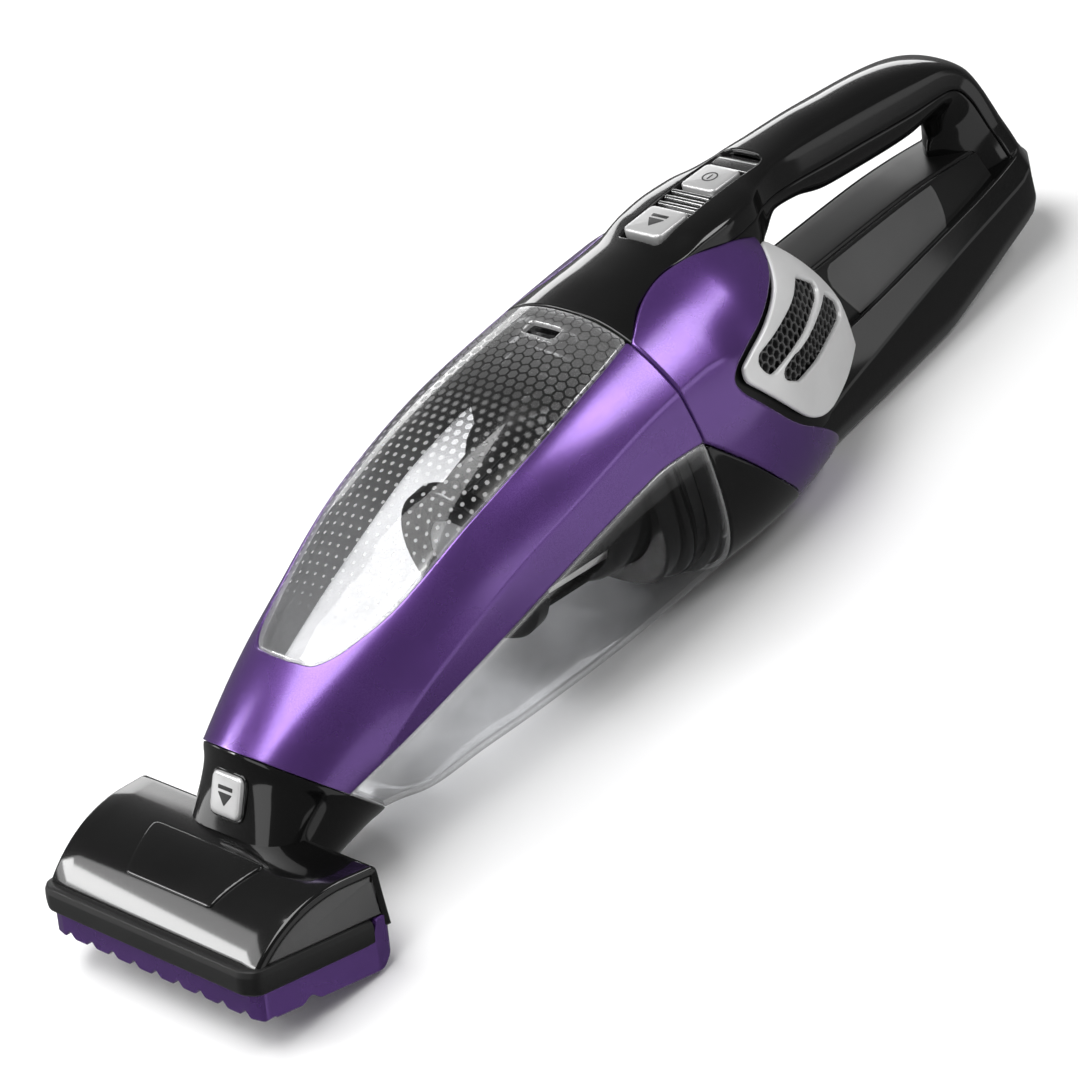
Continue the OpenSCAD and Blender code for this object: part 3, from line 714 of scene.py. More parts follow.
def surface_distance(skin, axes, outline):
    """Distance to an outline drawn in a view along one axis, measured along the surface."""
    dist, grad = inside_distance(skin.co[:, axes], outline)
    lean = (grad * skin.normal[:, axes]).sum(1)
    return dist / np.sqrt(np.maximum(1 - lean ** 2, 0.35 ** 2))


def side_field(skin, outline):
    """Distance to an outline drawn in side view."""
    return surface_distance(skin, [0, 2], outline)


def plan_field(skin, outline, above=56.0):
    """Distance to an outline drawn in plan. Below a height it is far outside."""
    return np.where(skin.co[:, 2] > above, surface_distance(skin, [0, 1], outline), OUTSIDE)


PURPLE_BIN = fillet([
    (-230, 160, 1), (-230, 29, 1), (-200, 33), (-161, 41.5), (-129, 48.3), (-93, 56.2), (-43, 66.2),
    (-12, 69), (-2, 67.7), (12, 65.6), (30, 50, 1), (30, 160, 1),
])
PURPLE_BODY = fillet([
    (-30, 160, 1), (-30, 70, 1), (5, 69, 1), (9, 65.5), (14, 59.5), (26, 44.5), (36, 30), (47, 15.5),
    (60, -9, 1), (86, -9, 1), (80, 14), (66, 30), (52, 42), (33, 69.5, 5), (30.5, 76, 4), (36, 79.5, 4),
    (60, 84.5), (72, 88), (84, 93), (96, 120, 1), (96, 160, 1),
])
LENS = fillet([
    (-30, -20, 1), (-30, 68, 1), (4, 69, 1), (9, 65.5), (14, 59.5), (26, 44.5), (36, 30), (47, 15.5),
    (64, -20, 1),
])
COVER_PLAN = fillet(both_sides([
    (-40, 30.6), (8, 30.3), (18, 24.8), (26, 21.2), (38, 18.2), (50, 19.6), (65, 22.4), (83, 21.4),
    (97, 15.5), (125, 12.5),
]))
WINDOW = fillet(both_sides([
    (30, 26), (9, 28.4), (-5, 30.2), (-35, 32.5), (-69, 31.9), (-100, 29.3), (-123, 25), (-140, 18.6),
    (-146.5, 13.5, 7), (-148, 4, 20),
]))
LATCH_SLOT = fillet([(-4.8, -7.5, 1.2), (0.8, -7.5, 1.2), (0.8, 7.5, 1.2), (-4.8, 7.5, 1.2)])
GRILLE = fillet([
    (85, 94, 5), (96.5, 78), (105.5, 61), (109.5, 44, 6), (108.5, 32, 4), (94, 28.5), (78, 30.5), (68, 33),
    (60, 38.5), (53.5, 47), (36, 72, 4), (37, 77, 3), (60, 82), (71, 85),
])
SLOT_UPPER = fillet([(45, 74.5, 3), (48, 67.8, 3), (91, 66.7, 6), (95, 68.2, 2), (86.6, 77, 3), (79.4, 75.8)])
SLOT_LOWER = fillet([(52, 63.3, 3), (60.5, 56.3, 3), (102.6, 50, 3), (104, 53, 2), (99, 60.8, 3), (90, 60.4)])

hull = grid_skin(hull_grid(np.arange(-160, 108.1, 1.5)), closed=True)
hull.facing((hull.co - (0, 0, 50)) * (0, 0, 1))

# Ridge along each side of the purple frame: the surface rises to a fine crease
RIDGE_HEIGHT, RIDGE_REACH, CREASE_SLOPE = 1.35, 15, 0.25
above = (hull.co[:, 2] - crease_height(hull.co[:, 0])) / np.hypot(1, CREASE_SLOPE)
ridge = RIDGE_HEIGHT * np.clip(1 - np.abs(above) / RIDGE_REACH, 0, 1) ** 2
ridge *= smooth(-160, -120, hull.co[:, 0]) * (1 - smooth(30, 46, hull.co[:, 0]))
ridge *= smooth(15, 30, np.abs(hull.co[:, 1]))
hull.data[:, :3] += hull.normal * ridge[:, None]

f_purple = side_field(hull, PURPLE_BIN)
f_window = plan_field(hull, WINDOW)
f_body = side_field(hull, PURPLE_BODY)
f_cover = plan_field(hull, COVER_PLAN)
f_lens = side_field(hull, LENS)
to_seam = hull.co[:, 0] - SEAM_X
to_neck = (NECK - hull.co) @ NECK_OUT
f_slot = plan_field(hull, LATCH_SLOT)
ahead_of_seam = -to_seam - SEAM_GAP
behind_seam = to_seam - SEAM_GAP


def least(*fields):
    """A panel's field: the distance to the nearest of its edges."""
    return np.minimum.reduce(fields)


def shell(name, field, wall, radius, mat, body, replaces, source=None, sink=0.0, extra=None):
    """One moulded panel with a rounded rim, cut out of the hull or another skin."""
    skin = (source or hull).with_fields(field, *(extra or []))
    co, faces, rim, cut = rounded_panel(skin, FIELD, wall, radius, sink)
    fields = {"rim": rim, "inner": np.repeat([0.0, 1.0], len(co) // 2)}
    if extra:
        count = len(cut.data)
        fields["print_u"] = np.concatenate([cut.data[:, FIELD + 1], np.full(count, UNPRINTED)])
        fields["print_v"] = np.tile(cut.data[:, FIELD + 2], 2)
    piece(name, co, faces, M[mat], body, replaces, fields=fields)


shell("bin_frame_panel", least(f_purple - PANEL_GAP, -f_window - PANEL_GAP, ahead_of_seam, to_neck - 0.1),
      2.0, 0.7, "purple", "dust_bin", ["bin_frame"])

# Distance round the section from the middle line, for the printed pattern
from_middle = np.abs(hull.co[:, 1])
arc = from_middle * (1 + 0.08 * (from_middle / 30) ** 2) * np.sign(hull.co[:, 1])
shell("bin_window_panel", least(f_window - PANEL_GAP, ahead_of_seam, -f_slot),
      2.0, 0.9, "window", "dust_bin", ["bin_window"], extra=[SEAM_X - hull.co[:, 0], arc])
shell("tank_panel", least(-f_purple - PANEL_GAP, ahead_of_seam, to_neck - 0.1),
      2.0, 0.7, "clear", "dust_bin", ["tank_shell"])
shell("shoulder_panel", least(f_body, -f_cover - 0.35, behind_seam),
      2.4, 1.1, "purple", "motor_unit", ["shoulder_shell"])
shell("side_lens", least(f_lens - 0.2, behind_seam),
      2.2, 0.8, "gloss", "motor_unit", ["lower_housing"])

# Grille: a silver plate with two slots over a honeycomb, on a black bed that is the floor of the recess round
# the plate and, behind the honeycomb, a dark sheet that paints the shade inside the vent
MESH_PITCH, MESH_HOLE = 3.8, 0.415
f_grille = side_field(hull, GRILLE)
f_upper, f_lower = side_field(hull, SLOT_UPPER), side_field(hull, SLOT_LOWER)
plate = least(f_grille, -f_upper - 1.5, -f_lower - 1.5, -f_cover - 0.6)
recess_and_shade_bed = least(f_grille + 7.0, -f_cover, to_seam - 14, hull.co[:, 2] - 24)
for side_name, sign in (("right", -1), ("left", 1)):
    here = np.where(hull.co[:, 1] * sign > 12, 20.0, -20.0)
    shell("grille_plate_" + side_name, np.minimum(plate, here), 1.8, 1.0, "trim", "motor_unit",
          ["vent_grille_" + side_name], sink=0.35)
    # Black bed sunk under the plate: the recess floor round the plate, and painted shade as a dark sheet
    # behind the vent's honeycomb
    shell("grille_shade_bed_" + side_name, np.minimum(recess_and_shade_bed, here), 0.8, 0.3, "satin", "motor_unit",
          [], sink=3.6)
    net = grid_skin(hull_grid(np.arange(42, 107, 0.42), 180, (0.5, 0.84) if sign < 0 else (0.16, 0.5)))
    net.facing(net.co * (0, 1, 0))
    u, v = net.co[:, 0] / MESH_PITCH, net.co[:, 2] / MESH_PITCH * 1.08
    from_hole = np.full(len(u), 9.0)
    for ox, oy in ((0, 0), (0.5, 3 ** 0.5 / 2)):
        gx = np.abs((u + ox) % 1.0 - 0.5)
        gy = np.abs((v + oy) % (3 ** 0.5) - 3 ** 0.5 / 2)
        from_hole = np.minimum(from_hole, np.maximum(gx, gx * 0.5 + gy * 3 ** 0.5 / 2))
    wires = (from_hole - MESH_HOLE) * MESH_PITCH
    near = np.maximum(side_field(net, SLOT_UPPER), side_field(net, SLOT_LOWER)) + 2.4
    shell("grille_mesh_" + side_name, np.minimum(wires, near), 0.7, 0.16, "grey", "motor_unit",
          ["vent_mesh_" + side_name], source=net, sink=1.9)

# ---------------------------------------------------------------- top cover and handle

# Stations along the grip: top line, crease, parting line and inner line as x, z pairs, half width at the
# parting line, squareness above and below
GRIP = np.array([
    [8.5, 108.2, 8.5, 99, 8.5, 95, 8.5, 90, 30.3, 2.2, 3],
    [26, 110.8, 26, 103.8, 26, 100.8, 26, 90, 21.2, 2.2, 3],
    [41.4, 111.7, 41.4, 105.1, 41.4, 102.1, 41.6, 88.5, 18.8, 2.2, 3],
    [57, 112, 57, 106.2, 57, 101.3, 57.4, 83.2, 21.3, 2.5, 3],
    [71.6, 111.9, 71.4, 105.9, 71.5, 100.6, 72, 82.7, 22.4, 2.5, 3],
    [86.3, 111.3, 86.1, 105.7, 86.2, 99.2, 86.8, 78.6, 20.4, 2.4, 3],
    [97, 110.6, 96.8, 105.8, 96.6, 97.7, 95.1, 81.0, 15.6, 2.3, 3],
    [107.8, 109.8, 107.6, 105.9, 106.9, 96, 104.4, 87.0, 13.2, 2.15, 2.8],
    [121.4, 108.8, 121.3, 103.7, 120.6, 93.3, 117.2, 84.6, 12.5, 2.05, 2.8],
    [137.1, 107.3, 137, 100.4, 136.3, 90, 131.7, 79.0, 12.5, 2, 3],
    [155.7, 104.1, 154.6, 96.7, 153, 86.8, 149.4, 75.3, 12.5, 2, 3],
    [176.3, 99.9, 173.3, 92.9, 169.7, 83.4, 166, 72.3, 12.5, 2, 3],
    [191, 95.5, 186, 90.4, 182.4, 81, 178.4, 70.4, 12.5, 2, 2.8],
    [204.9, 88.6, 197.8, 88, 194.1, 79.3, 187, 69.6, 12.5, 2, 2.3],
    [212.9, 82.1, 205.2, 84.4, 200.5, 78, 192.4, 68.2, 12.5, 2, 1.8],
    [218.5, 74.8, 210.7, 78, 205.7, 75, 195, 65.2, 12.5, 2, 1.45],
    [222.2, 64.2, 215.4, 67.6, 210.5, 66.6, 195.6, 59.3, 13.2, 2, 1.35],
    [225, 53.8, 217.7, 55.4, 212.9, 55.8, 193.1, 53.3, 15, 2, 1.3],
    [226.2, 46.8, 218.4, 47, 214.1, 46.8, 191.5, 46.2, 18, 2, 1.3],
    [226.8, 40.2, 218.8, 40.2, 214.4, 40.2, 189.5, 39.8, 20.4, 2, 1.3],
    [226.9, 34.5, 219, 34.5, 214.5, 34.5, 188, 34.5, 21.6, 2, 1.3],
])
turns = np.concatenate([[0], np.cumsum(np.hypot(np.diff(GRIP[:, 0]), np.diff(GRIP[:, 1])))])


def grip_stations(first, step=1.6):
    """Rows of the GRIP table at even steps, from the row given to the last one."""
    at = np.arange(turns[first], turns[-1] + step / 2, step)
    at[-1] = turns[-1]
    return np.column_stack([monotone(turns, GRIP[:, k], at) for k in range(GRIP.shape[1])])


def body_top(x, y):
    """Height of the body's surface at x and y, on its upper half."""
    _, low, high, _, half_w, _, p_high = section_values(np.array([x]))
    mid, half_h = (low + high) / 2, (high - low) / 2
    share = np.clip(np.abs(y) / half_w, 0, 1)
    return mid + half_h * (1 - share ** p_high) ** (1 / p_high)


# The cover lies flush with the body at the front, rises out of it towards the buttons and ends low on the
# rear post
FLUSH_TO, FREE_FROM = 44, 62
POST_LOW = 37.5
rows = []
arch = np.linspace(0, math.pi, 57)
wall = np.linspace(0, 1, 5)[:-1]
for ox, oz, cx, cz, qx, qz, _, _, w, p_up, _ in grip_stations(0):
    y = w * squared(np.cos(arch), p_up)
    lift = np.abs(np.sin(arch)) ** (2 / p_up)
    x, z = cx + (ox - cx) * lift, cz + (oz - cz) * lift
    if ox < FREE_FROM:
        share = 1 - smooth(FLUSH_TO, FREE_FROM, ox)
        z = z * (1 - share) + body_top(ox, y) * share
        qz = min(qz, z[0] - 2.5)
    left = np.column_stack([qx + (x[0] - qx) * wall, np.full(4, w), qz + (z[0] - qz) * wall])
    rows.append(np.vstack([left, np.column_stack([x, y, z]), left[::-1] * (1, -1, 1)]))
cover = grid_skin(np.array(rows)).facing((0, 0, 1))
runs = np.array([run_along(r) for r in rows])
to_side = np.minimum(runs, runs[:, -1:] - runs).ravel()
TRACK = fillet([(50, -9.5, 2), (109.3, -9.5, 5), (109.3, 9.5, 5), (50, 9.5, 2)])
f_track = plan_field(cover, TRACK, above=96)
shell("grip_cover", least(to_side, cover.co[:, 0] - SEAM_X - 0.3, -f_track, cover.co[:, 2] - POST_LOW),
      2.2, 0.7, "gloss", "motor_unit", ["top_cover"], source=cover)

# Underside of the grip, from the power button back, set in by a step from the cover
STEP_IN, STEP_DOWN = 0.55, 0.25
rows = []
arch = np.linspace(0, math.pi, 61)
for _, _, _, _, qx, qz, ix, iz, w, _, p_low in grip_stations(3):
    y = (w - STEP_IN) * squared(np.cos(arch), p_low)
    drop = np.abs(np.sin(arch)) ** (2 / p_low)
    rows.append(np.column_stack([qx + (ix - qx) * drop, y, qz - STEP_DOWN + (iz - qz + STEP_DOWN) * drop]))
under = grid_skin(np.array(rows))
under.facing(under.co * (0, 1, 0))
runs = np.array([run_along(r) for r in rows])
to_side = np.minimum(runs, runs[:, -1:] - runs).ravel()
shell("grip_frame", np.minimum(to_side, 6.0), 1.8, 0.8, "gloss", "motor_unit",
      ["handle_frame"], source=under)


def mirrored_section(points):
    """Closes half an outline, given from the top middle to the bottom middle."""
    return list(points) + [(-p[0],) + tuple(p[1:]) for p in reversed(points) if p[0] > 0.01]


# Battery housing inside the loop: its top line, and the grey panel on each flank in side view
HUMP_TOP = np.array([
    (84, 60.4), (91.4, 60.2), (116.8, 58.7), (144.1, 57), (167.5, 55.1), (185.2, 52.7), (206, 48.8),
])
HUMP_PANEL = fillet([
    (110.4, 58.7), (121.1, 32.6), (127.5, 31.6), (146.0, 30.0), (161.7, 30.9), (171.1, 34.3), (176.1, 41.7),
    (177.3, 50.7), (176.2, 54.7),
], steps=6)
# Where a flank starts, as half width and depth below the top line, and how much wider it is at its foot
FLANK_Y, FLANK_DROP, FLANK_SPREAD = 14.4, 1.4, 6.5


def hump_top(x):
    return float(monotone(HUMP_TOP[:, 0], HUMP_TOP[:, 1], x))


def hump_section(x):
    top = hump_top(x)
    outline = fillet(mirrored_section([
        (0, top + 0.5), (11.6, top + 0.4, 2), (12.3, top - 0.5, 0.4), (13.1, top - 0.4, 0.4),
        (13.7, top - 0.2, 0.5), (FLANK_Y, top - FLANK_DROP, 0.8), (20.9, 35.0, 1), (0, 35.0, 1),
    ]))
    return np.column_stack([np.full(len(outline), x), outline])


co, faces = lofted([hump_section(x) for x in np.linspace(90, 204, 60)])
piece("battery_housing", co, faces, M["satin"], "motor_unit", ["hump_shell"], sharp=50)
for side_name, sign in (("right", -1), ("left", 1)):
    rows = []
    for x in np.linspace(90, 186, 97):
        start = hump_top(x) - FLANK_DROP
        z = np.linspace(start, 36, 40)
        y = FLANK_Y + (start - z) / (start - 35) * FLANK_SPREAD
        rows.append(np.column_stack([np.full(40, x), sign * y, z]))
    flank = grid_skin(np.array(rows)).facing((0, sign, 0))
    dist, _ = inside_distance(flank.co[:, [0, 2]], HUMP_PANEL)
    shell("battery_panel_" + side_name, dist, 0.7, 0.35, "grey", "motor_unit", [],
          source=flank, sink=-0.3)

# Foot that holds the battery and rests on the table: x, half width, height of its widest line, top and
# lowest height. It is smooth up to its end, and straight between the last sections.
FOOT = np.array([
    [62, 30.5, 13.0, 35.5, 0], [84, 29.6, 18.8, 35.5, 0], [120, 28.7, 24.2, 35.8, 0],
    [156, 27.7, 28.6, 37.2, 0.2], [175, 27.2, 30.4, 38.0, 3.4], [200, 26.6, 32.4, 39.6, 9.4],
    [212, 26.2, 33.6, 41.0, 12.0], [217.2, 25.6, 35.6, 41.8, 13.2], [222.3, 20.4, 36.2, 41.9, 14.2],
    [226, 17, 34.2, 37.6, 15.0], [230, 13.5, 31.4, 33.6, 16.0], [233.5, 10, 28.6, 30.0, 17.0],
    [235.2, 8.4, 27.4, 28.8, 17.5],
])
FOOT_END = 212
FOOT_STATIONS = np.concatenate([
    np.arange(62, FOOT_END, 2.5), [FOOT_END, 214.5, 216.8, 217.6, 220, 222.0, 222.6, 226, 230, 233.5, 235.2],
])


def foot_section(x):
    columns = [FOOT[:, k] for k in range(1, 5)]
    if x > FOOT_END:
        half, line, top, low = [float(np.interp(x, FOOT[:, 0], column)) for column in columns]
    else:
        half, line, top, low = [float(monotone(FOOT[:, 0], column, x)) for column in columns]
    share = half / 29
    rim = min(22.6, half * 0.84)
    shoulder = half - 0.35 * share
    outline = fillet(mirrored_section([
        (0, top, 1), (rim - 1.2, top, 1), (rim, top + 0.6, 0.5), (rim + 1.0 * share, top + 0.2, 0.6),
        (shoulder, line + 0.6, 0.5), (half, line - 0.5, 0.5), (half - 0.9 * share, low + 9, 10),
        (half - 5.5 * share, low, 5), (0, low, 1),
    ]))
    return np.column_stack([np.full(len(outline), x), outline])


co, faces = lofted([foot_section(x) for x in FOOT_STATIONS])
foot = Skin(np.column_stack([co, np.zeros((len(co), 3))]), faces)
FRONT = fillet([(86.4, -9, 1), (80.3, 14), (66.5, 30), (56, 42), (56, 60, 1), (300, 60, 1), (300, -9, 1)])
dist, _ = inside_distance(foot.co[:, [0, 2]], FRONT)
foot = foot.with_fields(dist).cut(FIELD)
piece("battery_foot", foot.co, foot.faces, M["gloss"], "motor_unit", ["base_shell"], sharp=24)


# ---------------------------------------------------------------- buttons

def frame_at(origin, out, up):
    """Placement whose local z is out and whose local x is up."""
    z = Vector(out).normalized()
    y = z.cross(Vector(up)).normalized()
    x = y.cross(z)
    m = Matrix((x, y, z)).transposed().to_4x4()
    m.translation = Vector(origin)
    return m


def rectangle(length, width, radius, middle=(0, 0)):
    a, b = length / 2, width / 2
    x, y = middle
    corners = ((x - a, y - b), (x + a, y - b), (x + a, y + b), (x - a, y + b))
    return fillet([corner + (radius,) for corner in corners])


def ring_slab(radius, width, low, high):
    inside = radius - width
    co, faces = turned([(low, radius), (high, radius), (high, inside), (low, inside)], (0, 0), 48)
    return co[:, [1, 2, 0]], faces


def eject_mark(size, height):
    """A bar and a triangle that points along local -x, on a key of some height."""
    bar = rectangle(size * 0.2, size, 0.2, (size * 0.36, 0))
    point = fillet([(size * 0.12, size / 2, 0.3), (-size * 0.52, 0, 0.3), (size * 0.12, -size / 2, 0.3)])
    return joined(*(outline_slab(shape, height - 0.3, height + 0.12, 0.05) for shape in (bar, point)))


def key(name, at, outline, low, high, bevel, body, replaces):
    co, faces = outline_slab(outline, low, high, bevel, dome=0.12)
    piece(name, placed(co, at), faces, M["silver"], body, [replaces])


def mark(name, at, shape, body):
    piece(name, placed(shape[0], at), shape[1], M["ink"], body)


release_at = frame_at((60.4, 0, 111.85), (0.055, 0, 1), (1, 0, 0))
key("release_key", release_at, rectangle(16.6, 17.8, 2.6), -4.5, 0.75, 1.0, "bin_key", "bin_release_button")
mark("release_mark", release_at, eject_mark(7.4, 0.87), "bin_key")

power_at = frame_at((90, 0, 110.35), (0.085, 0, 1), (1, 0, 0))
key("power_key", power_at, rectangle(15.4, 16.4, 2.4), -3.8, 0.75, 0.9, "power_key", "power_button")
power_bar = outline_slab(rectangle(3.2, 0.6, 0.2), 0.6, 0.98, 0.05)
mark("power_mark", power_at, joined(ring_slab(3.0, 0.55, 0.6, 0.97), power_bar), "power_key")

ribs = []
for x in (70.4, 74.1, 77.8):
    ribs += [(x, 109.6, 0.8), (x + 0.8, 111.3, 0.8), (x + 2.2, 111.3, 0.8), (x + 3.0, 109.6, 0.8)]
rail = fillet([
    (50.3, 102.0, 0.5), (50.3, 104.3, 0.5), (69.6, 104.3, 0.5), (69.6, 109.6, 0.8), *ribs, (81.6, 109.4, 0.8),
    (81.6, 104.3, 0.5), (98.9, 104.3, 0.5), (98.9, 109.0, 0.9), (104, 108.7, 3), (108.4, 107.4, 2),
    (109.2, 105, 1), (109.2, 102, 0.5),
])
co, faces = outline_slab(rail, -9.1, 9.1, 0.7)
piece("key_rail", co[:, [0, 2, 1]], faces, M["chrome"], "motor_unit", ["button_track"])

# ---------------------------------------------------------------- brush head

# In the head's own frame, x runs from its rear edge to its front and z up
HEAD = Matrix(((-0.956305, 0, 0.292372, -191), (0, 1, 0, 0), (0.292372, 0, 0.956305, 0), (0, 0, 0, 1)))
ARC_AT, ARC_R = (12.0, -9.4), 46.4


def head_half(f):
    """Half width of the head at a distance from its rear edge."""
    return 58 - (f + 5) * 6 / 54.5


angles = np.radians(np.linspace(90, 37.5, 34))
crown = np.column_stack([ARC_AT[0] + ARC_R * np.cos(angles), ARC_AT[1] + ARC_R * np.sin(angles)])
back_edge = fillet([(-4.2, 14), (-2.2, 26), (-0.6, 37.0, 4), (5, 37.0), (12, 37)], closed=False, steps=8)[:-1]
profile = np.vstack([back_edge, crown, [(49.3, 17.6), (49.5, 14.2)]])


def head_ring(side, back_off, inset):
    """Outline of the head at a distance from one of its ends, drawn in by an inset."""
    ring = profile - miters(profile, 0.55) * inset
    y = side * (head_half(ring[:, 0]) - back_off)
    return placed(np.column_stack([ring[:, 0], y, ring[:, 1]]), HEAD)


EDGE = 1.4
round_edge = [(EDGE * (1 - math.sin(a)), EDGE * (1 - math.cos(a))) for a in np.linspace(math.pi / 2, 0, 6)]
ends = [(1.3, 3.0), (0.2, 2.9), (0.0, 2.7)] + round_edge
rings = [head_ring(-1, *end) for end in ends]
rings += [head_ring(-1, k, 0) for k in (8, 24, 40)] + [head_ring(1, k, 0) for k in (56, 40, 24, 8)]
rings += [head_ring(1, *end) for end in reversed(ends)]
co, faces = lofted(rings)
piece("head_cover", co, faces, M["gloss"], "brush_head", ["brush_cover"])

# Plain raised plate on the front of the cover
a = np.radians(np.linspace(84, 50, 50))
y = np.linspace(-32, 32, 74)
plate_co = np.empty((len(a), len(y), 3))
plate_co[..., 0] = (ARC_AT[0] + ARC_R * np.cos(a))[:, None]
plate_co[..., 1] = y[None, :]
plate_co[..., 2] = (ARC_AT[1] + ARC_R * np.sin(a))[:, None]
run = ARC_R * (math.radians(90) - a)
plate = grid_skin(placed(plate_co.reshape(-1, 3), HEAD).reshape(plate_co.shape)).facing((0, 0, 1))
flat = np.column_stack([np.repeat(run, len(y)), np.tile(y, len(run))])
PLATE = fillet([(8.2, -28, 2.5), (8.2, 28, 2.5), (30.5, 21, 2.5), (30.5, -21, 2.5)])
dist, _ = inside_distance(flat, PLATE)
shell("head_plate", dist, 1.6, 0.9, "gloss", "brush_head", [], source=plate, sink=-0.75)

# Flat caps on the ends of the head
CAP_LOW = 19.2
cap = profile - miters(profile, 0.55) * 3.1
cap = cap[cap[:, 1] > CAP_LOW]
cap_outline = fillet([
    (cap[0, 0] - 0.6, CAP_LOW, 2.2), *map(tuple, cap), (cap[-1, 0] + 0.3, CAP_LOW, 2.2),
], steps=4)
for side_name, sign in (("right", -1), ("left", 1)):
    co, faces = outline_slab(cap_outline, -1.4, -0.15, 0.5)
    co = np.column_stack([co[:, 0], sign * (head_half(co[:, 0]) + co[:, 2]), co[:, 1]])
    piece("head_cap_" + side_name, placed(co, HEAD), faces, M["grey"], "brush_head",
          ["end_cap_" + side_name])

# Rubber bumper swept round the front and sides
corners = fillet([
    (4.5, -58.3, 1), (50.2, -53.4, 5), (53.2, -48, 6), (53.2, 48, 6), (50.2, 53.4, 5), (4.5, 58.3, 1),
], closed=False, steps=9)
path = [corners[0]]
for p in corners[1:]:
    count = max(1, int(np.linalg.norm(p - path[-1]) / 2.5))
    path += [path[-1] + (p - path[-1]) * k / count for k in range(1, count + 1)]
heading = np.gradient(np.array(path), axis=0)
heading /= np.linalg.norm(heading, axis=1)[:, None]
band = fillet([
    (-4.5, 10.0, 0.4), (-1.2, 10.0, 0.8), (0.1, 11.2, 1.2), (0.35, 14), (0.2, 17.0, 1), (-0.6, 18.9, 0.8),
    (-1.8, 19.2, 0.6), (-4.5, 18.8, 0.4),
], steps=4)
BAND_MIDDLE = 14.5
END_SIZE = (0.9, 0.97)
rings = []
for k, (p, (ahead_x, ahead_y)) in enumerate(zip(path, heading)):
    to_end = min(k, len(path) - 1 - k)
    size = END_SIZE[to_end] if to_end < len(END_SIZE) else 1
    out = band[:, 0] * size
    level = BAND_MIDDLE + (band[:, 1] - BAND_MIDDLE) * size
    rings.append(np.column_stack([p[0] + ahead_y * out, p[1] - ahead_x * out, level]))
co, faces = lofted(rings)
piece("bumper_band", placed(co, HEAD), faces, M["rubber"], "brush_head", ["bumper"])


# Purple sole: a skirt with a scalloped lower edge around a plate that is open for the brush roll
def skirt_low(x, y):
    """Lower edge of the skirt: arches every 11 mm along the front and the sides, a chamfer at the rear."""
    front = np.clip(np.abs((np.abs(y) + 5.5) % 11 - 5.5) / 3.2, 0, 1)
    side = np.clip(np.abs(x - 30) / 4.2, 0, 1)
    arches = (1 + np.cos(np.pi * front)) * (x > 44) + (1 + np.cos(np.pi * side)) * (np.abs(y) > 46)
    return 1.1 * arches + 5.0 * (1 - smooth(-4, 2, x))


corners = fillet([
    (-3.4, 0, 1), (-3.4, -57.4, 3), (3.5, -58.0, 3), (48.2, -52.4, 2.5), (49.6, -47, 3), (49.6, 47, 3),
    (48.2, 52.4, 2.5), (3.5, 58.0, 3), (-3.4, 57.4, 3),
], steps=7)
path = []
for p, q in zip(corners, np.roll(corners, -1, axis=0)):
    count = max(1, int(np.linalg.norm(q - p) / 0.6))
    path += [p + (q - p) * k / count for k in range(count)]
path = np.array([p for k, p in enumerate(path) if np.linalg.norm(p - path[k - 1]) > 0.05])
heading = np.roll(path, -1, axis=0) - np.roll(path, 1, axis=0)
heading /= np.linalg.norm(heading, axis=1)[:, None]
outward = np.column_stack([heading[:, 1], -heading[:, 0]])
low_edge = skirt_low(path[:, 0], path[:, 1])
high_edge = 13.9 + 5.0 * (1 - smooth(2.5, 4.5, path[:, 0])) * (np.abs(path[:, 1]) > 50)
# Round the skirt's wall: how far in, how far above its edge, and at which edge
WALL = (
    (0, 0.5, low_edge), (0, -0.3, high_edge), (0.4, 0, high_edge), (2.0, 0, high_edge), (2.2, 0.3, low_edge),
    (1.9, 0, low_edge), (0.5, 0, low_edge),
)
n = len(path)
rings = [np.column_stack([path - outward * inset, edge + rise]) for inset, rise, edge in WALL]
skirt = np.vstack(rings), ring_faces(len(rings), n, loop=True, flip=True)
ROLL_X = 30
hole = fillet([(15, -43, 2), (45, -43, 2), (45, 43, 2), (15, 43, 2)])
rim = path - outward * 1.2
hole_turn = np.arctan2(hole[:, 1], hole[:, 0] - ROLL_X)
aim = []
for p in rim:
    apart = hole_turn - math.atan2(p[1], p[0] - ROLL_X)
    aim.append(np.argmin(np.arctan2(np.sin(apart), np.cos(apart)) ** 2))
hole = hole[aim]
frame_edges = (rim, 4.6), (hole, 4.6), (hole, 6.4), (rim, 6.4)
rings = [np.column_stack([edge, np.full(n, z)]) for edge, z in frame_edges]
co, faces = joined(skirt, (np.vstack(rings), ring_faces(len(rings), n, loop=True, flip=True)))
piece("sole_skirt", placed(co, HEAD), faces, M["purple"], "brush_head", ["brush_sole"])

# Collar between the bin and the head, from the bin down: share of the way, centre x and z, tilt in degrees,
# half width, half height and squareness
COLLAR = np.array([
    [0.0, -159.9, 38.2, 36.5, 30.0, 32.0, 2.0], [0.02, -160.3, 38.1, 36.5, 30.9, 32.9, 2.0],
    [0.09, -162, 37.3, 36.0, 30.4, 31.6, 2.05], [0.2, -165, 35.8, 34.8, 29.2, 28.9, 2.1],
    [0.5, -173.5, 32.0, 31, 26.8, 23.0, 2.4], [1.0, -187.7, 26.2, 24, 24.4, 15.0, 3.0],
])
SPIGOT_R, SPIGOT_LENGTH = 16.4, 16
t = np.linspace(0, 2 * math.pi, 120, endpoint=False)
rings = []
for q in np.concatenate([[0, 0.006, 0.012, 0.02, 0.04], np.linspace(0.08, 1, 22)]):
    cx, cz, tilt, half_w, half_h, p = [float(monotone(COLLAR[:, 0], COLLAR[:, k], q)) for k in range(1, 7)]
    y, v = half_w * squared(np.cos(t), p), half_h * squared(np.sin(t), p)
    r = math.radians(tilt)
    rings.append(np.column_stack([cx - v * math.sin(r), y, cz + v * math.cos(r)]))
n = len(t)
base = len(rings) * n
faces = ring_faces(len(rings), n) + [list(reversed(range(base - n, base)))]
